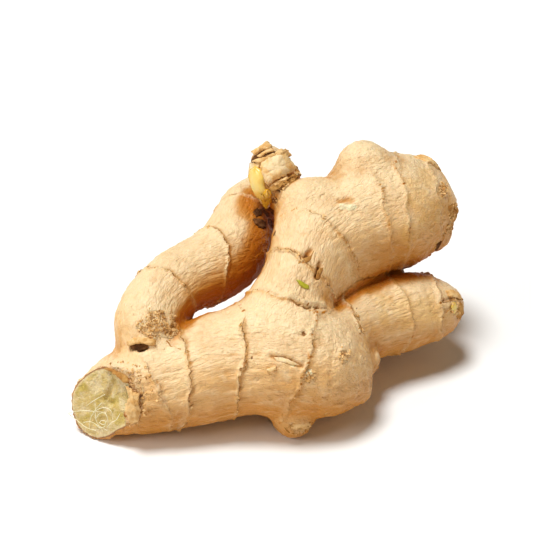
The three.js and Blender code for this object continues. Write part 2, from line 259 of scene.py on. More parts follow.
def smoothMin(a, b, width):
    overlap = np.maximum(width - abs(a - b), 0) / width
    return np.minimum(a, b) - overlap**2 * width / 4


# How far past each ring of a finger a point is, as one column for each ring.
def pastRings(lobe, points, along, offset):
    drift = skinForm["wander"] * swell(points, skinForm["wanderScale"])
    return np.stack([along + drift - offset @ np.array(lean) - at for at, *lean in lobe["rings"]], axis=1)


# Signed distance from the whole root's skin; notes receives what the finish needs at each point.
def rootField(points, notes=None):
    distances, places = {}, {}
    for name, lobe in growth.items():
        distance, along, offset = besideFinger(lobe, points)
        near = np.flatnonzero(abs(distance) <= 3)
        if lobe["rings"] and len(near):
            past = pastRings(lobe, points[near], along[near], offset[near])
            lip = skinForm["ringHeight"] * np.exp(-((past / skinForm["ringHalfWidth"]) ** 2))
            rise = np.clip(1 + past / skinForm["flareLength"], 0, 1) ** 2 * (past < 0)
            distance[near] -= (lip + skinForm["flare"] * rise).sum(1)
        distances[name], places[name] = distance, (along, offset)
    whole = distances["trunk"]
    for name, lobe in growth.items():
        if "parent" in lobe:
            joined = smoothMin(distances[name], distances[lobe["parent"]], lobe["blend"])
            whole = smoothMin(whole, joined, skinForm["crease"])
    whole = whole - skinForm["lumpHeight"] * swell(points, skinForm["lumpScale"])
    if notes is not None:
        notes["distances"], notes["places"] = distances, places
    return whole


def knifeDistance(points):
    facing = np.array(knife["facing"]) / np.linalg.norm(knife["facing"])
    return (points - np.array(knife["point"])) @ facing


def solidField(points):
    return np.maximum(np.maximum(rootField(points), knifeDistance(points)), -points[:, 2])


def fieldSlope(field, points, reach=0.05):
    here = field(points)
    slope = np.stack([field(points + reach * axis) - here for axis in np.eye(3)], axis=1) / reach
    return here, slope


def ontoSkin(points, field=solidField, steps=3, most=0.6):
    for _ in range(steps):
        here, slope = fieldSlope(field, points)
        size = np.maximum((slope**2).sum(1), 0.2)
        points = points + np.clip(-here / size, -most, most)[:, None] * slope
    return points


# How a ray from the camera is followed: where it starts and gives up, in steps of a share of the gap
sight = {"start": 360.0, "end": 640, "steps": 70, "share": 0.8, "back": -2, "ahead": 20}


# Where a pixel of the photograph's frame falls on the root, in the source's millimetres.
# A ray that only passes close by gives its nearest point, so a torn edge can stand past the outline.
def cameraRays(pixels):
    pixels = np.atleast_2d(np.array(pixels, float))
    tilt = math.radians(camera["elevation"])
    forward = np.array([0, math.cos(tilt), -math.sin(tilt)])
    up = np.array([0, math.sin(tilt), math.cos(tilt)])
    focal = camera["lens"] / camera["sensor"] * camera["pixels"]
    half = camera["pixels"] / 2
    rays = forward + np.outer((pixels[:, 0] - half) / focal, [1, 0, 0])
    rays += np.outer((half - pixels[:, 1]) / focal, up)
    rays /= np.linalg.norm(rays, axis=1, keepdims=True)
    return np.array(camera["target"]) + middle - forward * camera["distance"], rays


def seenAt(pixels):
    eye, rays = cameraRays(pixels)
    travel, nearest = np.full(len(rays), sight["start"]), np.full(len(rays), 1e9)
    best = travel.copy()
    for _ in range(sight["steps"]):
        here = solidField(eye + travel[:, None] * rays)
        closer = here < nearest
        nearest[closer], best[closer] = here[closer], travel[closer]
        step = np.clip(here * sight["share"], sight["back"], sight["ahead"])
        travel = np.minimum(travel + step, sight["end"])
    return eye + best[:, None] * rays


makeCamera()

# Smooth random patterns for the relief, on a grid that lies askew to the root
askew = np.linalg.qr(np.array([[1.0, 0.62, -0.35], [-0.48, 1.0, 0.57], [0.71, -0.29, 1.0]]))[0]


def patchwork(points, seed):
    points = points @ askew
    cell = np.floor(points).astype(np.int64)
    part = points - cell
    ease = part * part * (3 - 2 * part)
    total = np.zeros(len(points))
    for corner in np.ndindex(2, 2, 2):
        x, y, z = (cell + np.array(corner)).T
        mixed = (x * 374761393 + y * 668265263 + z * 2147483647 + seed * 974634777) & 0xFFFFFFFF
        mixed = ((mixed ^ (mixed >> 13)) * 1274126177) & 0xFFFFFFFF
        value = ((mixed ^ (mixed >> 16)) & 0xFFFF) / 32767.5 - 1
        total += value * np.prod(np.where(corner, ease, 1 - ease), axis=1)
    return total


def smoothStep(low, high, value):
    t = np.clip((value - low) / (high - low), 0, 1)
    return t * t * (3 - 2 * t)


# The body: a fine skin over the solid, with its wrinkles, rings, scars and the knife's cut

body = {
    "voxel": 0.7,
    "wrinkleDepth": 0.85,  # long furrows along each finger
    "pimpleDepth": 0.2,
    "grainStretch": 0.3,  # how slowly the pattern changes along a finger
    "lipHeight": 0.45,  # the ragged edge of each old leaf's scar
    "ringStep": 0.1,  # down past that edge
    "tearDepth": 0.4,
    "footLumps": 1.3,
    "rimCurl": 0.35,  # the skin's edge round the cut
    "fleshSag": 0.6,  # the middle of the cut
    "shelterReach": (2.0, 4.5, 9.0, 18.0),  # how far out something may stand in the light's way
    "shelterFull": 3.2,  # the sum that counts as fully sheltered
}
# How dark each ring's line is, in the order of the growth table
ringLook = {
    "trunk": (0.25, 0.75, 0.85, 0.45),
    "rearFinger": (0.8, 1.0, 0.7),
    "upperFinger": (0.05, 0.9, 0.45, 0.1, 0.35, 0.15),
    "frontFinger": (0.8, 0.25, 0.3),
    "shootStump": (1.0,),
    "foot": (0.7,),
}
# Marks seen in the photograph: paths of its pixels; width, depth and side steps are millimetres.
marks = {
    "gouge": {"path": [(271, 357), (285, 359), (301, 366)], "width": 1.0, "depth": 0.9},
    "gougeRim": {"path": [(273, 353), (287, 354), (302, 360)], "width": 0.6, "depth": -0.45},
    "eye": {"path": [(340, 201), (346, 199), (353, 200)], "width": 1.0, "depth": 0.55},
    "eyeLip": {"path": [(341, 206), (347, 208), (354, 206)], "width": 1.0, "depth": -0.6},
    "pits": {"path": [(302, 335), (306, 332)], "width": 0.6, "depth": 0.6},
    "pitRim": {"path": [(309, 331), (313, 328), (317, 331)], "width": 0.4, "depth": -0.25},
    "flapHollow": {"path": [(133, 347), (140, 349), (147, 346)], "width": 1.0, "depth": 1.2},
    "neckTear": {"path": [(304, 258), (307, 255), (311, 250)], "width": 0.9, "depth": 1.0},
    "neckTearLow": {"path": [(320, 264), (320, 270), (317, 276)], "width": 1.1, "depth": 1.1},
    "stubTear": {"path": [(292, 426), (300, 428), (309, 424)], "width": 0.7, "depth": 0.9},
    "tipTear": {"path": [(443, 301), (450, 299), (459, 297)], "width": 0.6, "depth": 0.6},
    "tipTearLow": {"path": [(447, 312), (453, 307), (459, 309)], "width": 0.7, "depth": 0.5},
    "veeMark": {"path": [(382, 177), (385, 181), (391, 176)], "width": 0.4, "depth": 0.25},
    "crack": {"path": [(376, 343), (381, 345), (388, 349)], "width": 0.4, "depth": 0.4},
    "scar": {
        "path": [(338, 352), (343, 349), (348, 353), (345, 359), (339, 358), (338, 352)],
        "width": 0.5, "depth": -0.3,
    },
    "cutCrack": {"path": [(114, 381), (109, 390), (104, 400)], "width": 0.8, "depth": 1.0},
    "cutPit": {"path": [(107, 404), (111, 403)], "width": 1.0, "depth": 1.1},
    "cutRidge": {"path": [(85, 404), (94, 396), (105, 392)], "width": 1.2, "depth": -0.4},
    "fleshEdge": {
        "path": [(110, 366), (116, 374), (130, 384), (129, 399), (125, 413), (128, 425), (119, 440)],
        "width": 0.5, "depth": 0.5,
    },
    "neckToe": {
        "path": [(291, 299), (298, 303), (306, 307), (319, 307)],
        "width": 0.7, "depth": 0.9, "step": 1.2, "reach": 5,
    },
    "hollowLine": {"path": [(166, 335), (172, 343), (180, 347)], "width": 0.4, "depth": 0.3},
    "endLine": {"path": [(440, 168), (447, 185), (449, 200)], "width": 0.8, "depth": 0.5},
}
patches = {
    "cork": [
        ((158, 322), 4.5), ((150, 330), 4.2), ((168, 330), 3.2), ((172, 320), 2.2), ((344, 355), 2.4),
        ((454, 212), 4),
        ((449, 228), 3.5), ((443, 190), 3), ((308, 376), 2.4), ((300, 430), 2.4), ((457, 310), 2.6),
        ((452, 297), 2.2),
        ((428, 157), 2.4), ((282, 184), 3), ((292, 178), 2.2), ((272, 196), 2.2), ((132, 390), 3.4),
        ((135, 405), 3.2),
        ((126, 378), 2), ((110, 372), 1.2), ((362, 330), 1.4), ((357, 316), 1.4),
    ],
    # Two of the dark spots, at (141, 347) and (134, 345), are painted shade in the hollow under the flap; the
    # others are dark tears, pits and scabs
    "dark": [
        ((258, 212), 1.8), ((260, 223), 2.3), ((267, 212), 2.6), ((271, 222), 2.4), ((274, 233), 1.8),
        ((141, 347), 1.6), ((134, 345), 1.2), ((459, 214), 1.5), ((307, 255), 1),
        ((320, 268), 1.1), ((318, 275), 0.9), ((141, 395), 1.2), ((131, 388), 0.9), ((438, 245), 0.8),
        ((420, 153), 0.8),
        ((300, 427), 0.9), ((444, 300), 0.6), ((451, 298), 0.5), ((459, 297), 0.5), ((410, 345), 0.5),
        ((444, 334), 0.5),
        ((304, 333), 0.8), ((278, 189), 1.5), ((294, 172), 1.4), ((275, 200), 1.6), ((270, 209), 2.2),
        ((135, 412), 0.7),
        ((357, 309), 0.5), ((361, 316), 0.5), ((344, 354), 0.8), ((252, 358), 0.7), ((190, 420), 0.6),
        ((458, 318), 0.8),
    ],
    "ochre": [
        ((405, 308), 7), ((430, 312), 7), ((386, 300), 5), ((441, 212), 7), ((427, 178), 5),
        ((420, 200), 6), ((410, 235), 5), ((425, 222), 5), ((413, 185), 4), ((268, 194), 2.5),
        ((455, 305), 2.6),
        ((343, 200), 1.3), ((350, 199), 1.3), ((433, 205), 3), ((384, 318), 3.4), ((405, 325), 2.4),
    ],
    "pale": [
        ((286, 361), 1.3), ((279, 358), 1.2), ((293, 364), 1.1), ((308, 372), 1.4), ((343, 207), 1.4),
        ((348, 208), 1.6), ((353, 207), 1.4),
    ],
}


# How far each point is from a path seen in the photograph, and on which side of it
# (towards the picture's top is positive, for a path drawn from left to right).
def besidePath(points, pixels, outward):
    path = seenAt(pixels)
    nearest, side = np.full(len(points), 1e9), np.zeros(len(points))
    for start, end in zip(path, path[1:] if len(path) > 1 else path):
        way = end - start
        share = np.clip((points - start) @ way / max(way @ way, 1e-9), 0, 1)
        gap = points - start - share[:, None] * way
        distance = np.linalg.norm(gap, axis=1)
        closer = distance < nearest
        nearest[closer] = distance[closer]
        side[closer] = (gap * np.cross(outward, way)).sum(1)[closer]
    return nearest, np.sign(side)


def grainOf(name, notes):
    along, offset = notes["places"][name]
    spine = np.array(growth[name]["spine"])[:, :3]
    heading = (spine[-1] - spine[0]) / np.linalg.norm(spine[-1] - spine[0])
    shift = 37.0 * list(growth).index(name)
    return offset + np.outer(along * body["grainStretch"] + shift, heading)


def addAttribute(mesh, name, values):
    kind = "FLOAT_VECTOR" if values.ndim == 2 else "FLOAT"
    layer = mesh.attributes.new(name, kind, "POINT")
    layer.data.foreach_set("vector" if values.ndim == 2 else "value", values.astype(np.float32).ravel())


def settle(piece, material=None):
    if material:
        piece.data.materials.clear()
        piece.data.materials.append(material)
    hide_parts("ginger_root")
    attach(piece, "root")
    return piece


def newPiece(name, points, faces, edges=(), material=None):
    mesh = bpy.data.meshes.new(name)
    points = np.array(points, float)
    points[:, 2] = np.maximum(points[:, 2], 0)
    mesh.from_pydata([tuple(p) for p in (points - middle) / 1000], list(edges), [tuple(f) for f in faces])
    mesh.validate()
    for polygon in mesh.polygons:
        polygon.use_smooth = True
    piece = bpy.data.objects.new(name, mesh)
    bpy.context.scene.collection.objects.link(piece)
    if material:
        mesh.materials.append(material)
    return piece


def remeshedPoints():
    source = frame["nodes"]["ginger_root"]
    copied = bpy.data.objects.new("fineSkin", source.data.copy())
    bpy.context.scene.collection.objects.link(copied)
    merged = bmesh.new()
    merged.from_mesh(copied.data)
    bmesh.ops.remove_doubles(merged, verts=merged.verts, dist=1e-6)
    bmesh.ops.recalc_face_normals(merged, faces=merged.faces)
    merged.to_mesh(copied.data)
    merged.free()
    remesh = copied.modifiers.new("remesh", "REMESH")
    remesh.mode = "VOXEL"
    remesh.voxel_size = body["voxel"] / 1000
    depsgraph = bpy.context.evaluated_depsgraph_get()
    mesh = bpy.data.meshes.new_from_object(copied.evaluated_get(depsgraph))
    bpy.data.objects.remove(copied)
    mesh.materials.clear()
    points = np.empty(len(mesh.vertices) * 3, np.float32)
    mesh.vertices.foreach_get("co", points)
    return mesh, points.reshape(-1, 3).astype(float) * 1000 + middle


# Signed millimetres past the nearest ring, how far away it is, how dark it is, and which way its finger grows
def nearestRings(points, notes):
    past, nearest = np.full(len(points), 9.0), np.full(len(points), 1e9)
    dark, heading = np.zeros(len(points)), np.zeros((len(points), 3))
    for name, lobe in growth.items():
        if not lobe["rings"]:
            continue
        along, offset = notes["places"][name]
        each = pastRings(lobe, points, along, offset)
        which = abs(each).argmin(1)
        pieces = lobe["pieces"]
        step = np.clip(np.searchsorted(pieces["alongs"], along) - 1, 0, len(pieces["alongs"]) - 1)
        way = pieces["ways"][step] / pieces["lengths"][step][:, None]
        closer = notes["distances"][name] < nearest
        past[closer] = each[np.arange(len(points)), which][closer]
        dark[closer] = np.array(ringLook[name])[which][closer]
        heading[closer] = way[closer]
        nearest[closer] = notes["distances"][name][closer]
    away = np.minimum(abs(past) + np.maximum(nearest - 1.2, 0) * 3, 9)
    return past, away, dark, heading


def makeBody():
    mesh, points = remeshedPoints()
    off = float(abs(solidField(points)).mean())
    print("body remeshed:", len(points), "points, off the shape by", round(off, 3), "mm")
    points = ontoSkin(points)
    notes = {}
    rootField(points, notes)
    distances = notes["distances"]
    here, slope = fieldSlope(rootField, points)
    outward = slope / np.maximum(np.linalg.norm(slope, axis=1, keepdims=True), 1e-6)
    inside = np.maximum(-here, 0)
    skin = 1 - smoothStep(0.15, 0.6, inside)
    resting = smoothStep(0.0, 0.6, points[:, 2])

    # Which finger each point belongs to, and how much of the trunk's pattern shows there
    branches = ["rearFinger", "upperFinger", "frontFinger", "shootStump", "foot", "frontStub"]
    stack = np.stack([distances[name] for name in branches], axis=1)
    stack[:, 1] = np.minimum(stack[:, 1], np.minimum(distances["hump"], distances["shoulder"]) + 1.5)
    owner = stack.argmin(1)
    branchGrain = np.stack([grainOf(name, notes) for name in branches])[owner, np.arange(len(points))]
    trunkGrain = grainOf("trunk", notes)
    knobs = np.minimum(distances["trunk"], np.minimum(distances["endKnob"], distances["sideKnob"]) + 1)
    trunkShare = smoothStep(-4, 4, stack.min(1) - knobs)
    ringPast, ringAway, ringDark, heading = nearestRings(points, notes)
    wobble = 0.7 * patchwork(points / 1.9, 14) + 0.45 * patchwork(points / 0.85, 16)
    ringPast, ringAway = ringPast + wobble, np.maximum(ringAway + wobble, 0)
    ringDark = ringDark * smoothStep(-0.75, 0.1, patchwork(points / 7, 17))

    # Long furrows along the fingers, stronger low on the sides, and a fine pebbling
    def furrows(grain):
        broad = 0.5 - abs(patchwork(grain / 2.1, 3))
        fine = 0.5 - abs(patchwork(grain / 1.15, 5))
        return broad * 0.7 + fine * 0.45

    furrow = furrows(branchGrain) * (1 - trunkShare) + furrows(trunkGrain) * trunkShare
    strength = 0.5 + 0.4 * patchwork(points / 12, 8) - 0.35 * outward[:, 2]
    strength += 0.6 * trunkShare * smoothStep(0.4, -0.4, outward[:, 1])
    strength = np.clip(strength, 0.15, 1.5)
    relief = body["wrinkleDepth"] * furrow * strength
    relief += body["pimpleDepth"] * patchwork(points / 1.3, 9)
    # A ragged lip that stands off the skin just before each ring, and a small step down past it
    ragged = patchwork(points / 1.5, 12) + 0.5 * patchwork(points / 0.8, 13)
    near = (ringAway < 2.5) * (0.08 + 0.92 * ringDark)
    lip = np.exp(-(((ringPast + 0.3) / 0.5) ** 2)) * near
    relief += body["lipHeight"] * lip * np.clip(ragged + 0.45, -0.3, 1.2)
    fall = np.exp(-(((ringPast - 0.6) / 0.5) ** 2)) * near
    relief -= body["ringStep"] * fall * np.clip(0.7 - ragged, 0, 1.2)
    for mark in marks.values():
        gone, side = besidePath(points, mark["path"], outward)
        gone = gone + 0.3 * patchwork(points / 1.1, 15)
        relief -= mark["depth"] * (1 - smoothStep(mark["width"] * 0.3, mark["width"] * 1.5, gone))
        if "step" in mark:
            relief += mark["step"] * (side > 0) * (1 - smoothStep(0.5, mark["reach"], gone))

    masks = {}
    spread = 0.35 * patchwork(points / 2.2, 21) + 0.25 * patchwork(points / 0.9, 22)
    for name, spots in patches.items():
        mask = np.zeros(len(points))
        for place, (_, radius) in zip(seenAt([pixel for pixel, _ in spots]), spots):
            gone = np.linalg.norm(points - place, axis=1) / radius
            mask = np.maximum(mask, 1 - smoothStep(0.45, 1.15, gone + spread))
        masks[name] = mask
    # A few scabs where the photograph doesn't look, and at every finger's tip
    hidden = smoothStep(0.2, 0.7, outward[:, 1]) * smoothStep(0.62, 0.75, patchwork(points / 6, 51))
    masks["cork"] = np.maximum(masks["cork"], hidden)
    relief += masks["cork"] * (0.2 + 0.6 * patchwork(points / 1.5, 31) + 0.3 * patchwork(points / 0.75, 32))
    relief -= body["tearDepth"] * masks["dark"]
    # The finger under the back is lumpy, like a stunted shoot
    onFoot = (owner == branches.index("foot")) * (1 - trunkShare)
    relief += body["footLumps"] * patchwork(points / 6.5, 91) * onFoot

    # The skin's edge curls up a little round the cut; the flesh is torn into low ridges, sunk in the middle
    facing = np.array(knife["facing"]) / np.linalg.norm(knife["facing"])
    fromKnife = knifeDistance(points)
    rim = np.exp(-(((fromKnife + 0.8) / 0.9) ** 2)) * skin
    relief += rim * body["rimCurl"] * (0.5 + patchwork(points / 1.6, 41))
    flesh = smoothStep(0.3, 0.9, inside) * smoothStep(-1.0, -0.4, fromKnife)
    gone, side = besidePath(points, marks["fleshEdge"]["path"], facing)
    torn = smoothStep(-0.4, 0.4, gone * side + 0.9 * patchwork(points / 2, 45))
    torn *= smoothStep(-2, -1, fromKnife)
    masks["cork"] = np.maximum(masks["cork"], torn * smoothStep(-0.2, 0.5, inside) * 0.75)
    sag = 0.3 * patchwork(points / 2.6, 43) + 0.22 * patchwork(points / 1.1, 44)
    sag -= body["fleshSag"] * smoothStep(2, 8, inside)
    for name in ("cutCrack", "cutPit", "cutRidge"):
        gone, _ = besidePath(points, marks[name]["path"], outward)
        width = marks[name]["width"]
        sag -= marks[name]["depth"] * (1 - smoothStep(width * 0.3, width * 1.6, gone))
    sag = sag * (1 - torn) + torn * (0.5 + 0.7 * patchwork(points / 1.8, 46))
    inside = inside * (1 - torn)
    points = points + outward * (relief * skin * resting)[:, None] + facing * (sag * flesh)[:, None]
    points[:, 2] = np.maximum(points[:, 2], 0)

    # Shelter from the light: how soon something stands in the way, straight out and a little further
    reaches = body["shelterReach"]
    shelter = sum(np.clip(1 - rootField(points + outward * reach) / reach, 0, 1) for reach in reaches)
    shelter /= body["shelterFull"]
    mesh.vertices.foreach_set("co", ((points - middle) / 1000).astype(np.float32).ravel())
    mesh.update()
    flaking = np.exp(-(((ringPast + 0.1) / 0.35) ** 2)) * (ringAway < 1.6) * np.clip(ringDark - 0.2, 0, 1)
    flaking *= smoothStep(-0.1, 0.5, patchwork(points / 3, 61)) * skin * resting
    for name, values in {
        "branchGrain": branchGrain, "trunkGrain": trunkGrain, "trunkShare": trunkShare, "ringPast": ringPast,
        "ringAway": ringAway, "ringDark": ringDark, "inside": inside, "shelter": shelter, "furrow": furrow,
        "turned": outward[:, 2], "heading": heading, "flaking": flaking,
        "crumbly": masks["cork"] * skin * resting,
        **masks,
    }.items():
        addAttribute(mesh, name, values)
    made = bpy.data.objects.new("fineSkin", mesh)
    mesh.name = "fineSkin"
    bpy.context.scene.collection.objects.link(made)
    mesh.polygons.foreach_set("use_smooth", np.ones(len(mesh.polygons), bool))
    print("body finished:", len(mesh.polygons), "faces")
    return made


# Node trees, for materials and for what is strewn over the skin


class Wiring:
    def __init__(self, tree):
        self.tree = tree

    def node(self, kind, settings=None, **inputs):
        made = self.tree.nodes.new(kind)
        for name, value in (settings or {}).items():
            setattr(made, name, value)
        for name, value in inputs.items():
            self.feed(made.inputs[name.replace("_", " ")], value)
        return made

    def feed(self, socket, value):
        if isinstance(value, bpy.types.NodeSocket):
            self.tree.links.new(value, socket)
        else:
            socket.default_value = value

    def attribute(self, name, output="Fac"):
        return self.node("ShaderNodeAttribute", {"attribute_name": name}).outputs[output]

    def math(self, operation, first, second=0.0, third=0.0, clamp=False):
        made = self.node("ShaderNodeMath", {"operation": operation, "use_clamp": clamp})
        for socket, value in zip(made.inputs, (first, second, third)):
            self.feed(socket, value)
        return made.outputs[0]

    def times(self, first, second):
        return self.math("MULTIPLY", first, second)

    def plus(self, first, second):
        return self.math("ADD", first, second)

    def scaled(self, vector, scale):
        made = self.node("ShaderNodeVectorMath", {"operation": "SCALE"})
        self.feed(made.inputs[0], vector)
        self.feed(made.inputs["Scale"], scale)
        return made.outputs[0]

    def noise(self, vector, scale, detail=3.0, roughness=0.55):
        made = self.node("ShaderNodeTexNoise", Vector=vector, Scale=scale, Detail=detail, Roughness=roughness)
        return made.outputs[0]

    def remap(self, value, low, high, toLow=0.0, toHigh=1.0):
        made = self.node("ShaderNodeMapRange", {"interpolation_type": "SMOOTHSTEP"})
        names = ("Value", "From Min", "From Max", "To Min", "To Max")
        for name, part in zip(names, (value, low, high, toLow, toHigh)):
            self.feed(made.inputs[name], part)
        return made.outputs["Result"]

    def bump(self, height):
        return self.node("ShaderNodeBump", Strength=1.0, Distance=0.001, Height=height).outputs[0]

    def mix(self, share, first, second):
        made = self.node("ShaderNodeMix", {"data_type": "RGBA"}, Factor=share)
        for socket, value in zip((made.inputs[6], made.inputs[7]), (first, second)):
            self.feed(socket, value if isinstance(value, bpy.types.NodeSocket) else (*value, 1))
        return made.outputs[2]

    def blend(self, share, first, second):
        made = self.node("ShaderNodeMix", Factor=share)
        self.feed(made.inputs[2], first)
        self.feed(made.inputs[3], second)
        return made.outputs[0]


def newGroup(name, kind, inputs, outputs):
    group = bpy.data.node_groups.new(name, kind)
    for socket, (socketType, value) in inputs.items():
        made = group.interface.new_socket(socket, in_out="INPUT", socket_type=socketType)
        if value is not None:
            made.default_value = value
    for socket, socketType in outputs.items():
        group.interface.new_socket(socket, in_out="OUTPUT", socket_type=socketType)
    entry = group.nodes.new("NodeGroupInput").outputs
    leave = group.nodes.new("NodeGroupOutput").inputs
    return group, Wiring(group), entry, leave


def newMaterial(name, **sockets):
    material = bpy.data.materials.new(name)
    material.use_nodes = True
    shader = material.node_tree.nodes["Principled BSDF"]
    for socket, value in sockets.items():
        shader.inputs[socket.replace("_", " ")].default_value = value
    return material, shader, Wiring(material.node_tree)


# Silky wrinkles that follow each finger: a height, and a paler or darker streak
def fingerWrinkles():
    group, w, entry, leave = newGroup(
        "fingerWrinkles", "ShaderNodeTree",
        {"Fineness": ("NodeSocketFloat", 1.0), "Detail": ("NodeSocketFloat", 3.0)},
        {"Height": "NodeSocketFloat", "Streak": "NodeSocketFloat"})
    share = w.attribute("trunkShare")

    def layer(fineness):
        scale = w.times(entry["Fineness"], fineness)
        both = [w.noise(w.scaled(w.attribute(grain, "Vector"), scale), 1.0, entry["Detail"], 0.6)
                for grain in ("branchGrain", "trunkGrain")]
        return w.blend(share, *both)

    folds, threads = layer(0.55), layer(1.5)
    ridged = w.math("SUBTRACT", 1.0, w.math("ABSOLUTE", w.math("MULTIPLY_ADD", folds, 5.0, -2.5)))
    w.feed(leave["Height"], w.plus(w.times(ridged, 0.5), w.times(threads, 0.4)))
    w.feed(leave["Streak"], threads)
    return group


# Crumbly bark: a mask with a broken edge, a height and a share of its paler crumbs
def crumblyBark():
    group, w, entry, leave = newGroup(
        "crumblyBark", "ShaderNodeTree",
        {
            "Place": ("NodeSocketVector", None), "Mask": ("NodeSocketFloat", 1.0),
            "Fineness": ("NodeSocketFloat", 800.0),
        },
        {"Mask": "NodeSocketFloat", "Height": "NodeSocketFloat", "Crumbs": "NodeSocketFloat"})
    crumbs = w.noise(entry["Place"], entry["Fineness"], 4.0, 0.7)
    broken = w.plus(entry["Mask"], w.math("MULTIPLY_ADD", crumbs, 1.1, -0.6))
    w.feed(leave["Mask"], w.remap(broken, 0.3, 0.75))
    w.feed(leave["Height"], crumbs)
    w.feed(leave["Crumbs"], w.remap(crumbs, 0.42, 0.6))
    return group


wrinkleGroup = fingerWrinkles()
barkGroup = crumblyBark()

skinLook = {
    "peach": (0.86, 0.555, 0.25), "tan": (0.76, 0.41, 0.13), "cream": (0.96, 0.78, 0.50),
    "rust": (0.64, 0.33, 0.09),
    "paintedShadeBrown": (0.56, 0.215, 0.012), "paintedDeepShade": (0.50, 0.15, 0.002),
    "stain": (0.62, 0.29, 0.06), "ringBrown": (0.42, 0.16, 0.025), "ringCream": (0.90, 0.66, 0.36),
    "cork": (0.68, 0.37, 0.11), "corkDark": (0.34, 0.13, 0.022),
    "dark": (0.075, 0.026, 0.008), "ochre": (0.76, 0.42, 0.085), "pale": (0.92, 0.80, 0.50),
    "flesh": (0.64, 0.46, 0.16), "fleshPale": (0.78, 0.62, 0.34), "fleshGreen": (0.54, 0.39, 0.05),
    "rim": (0.34, 0.14, 0.04),
    "roughness": 0.46, "subsurface": 0.1,
}


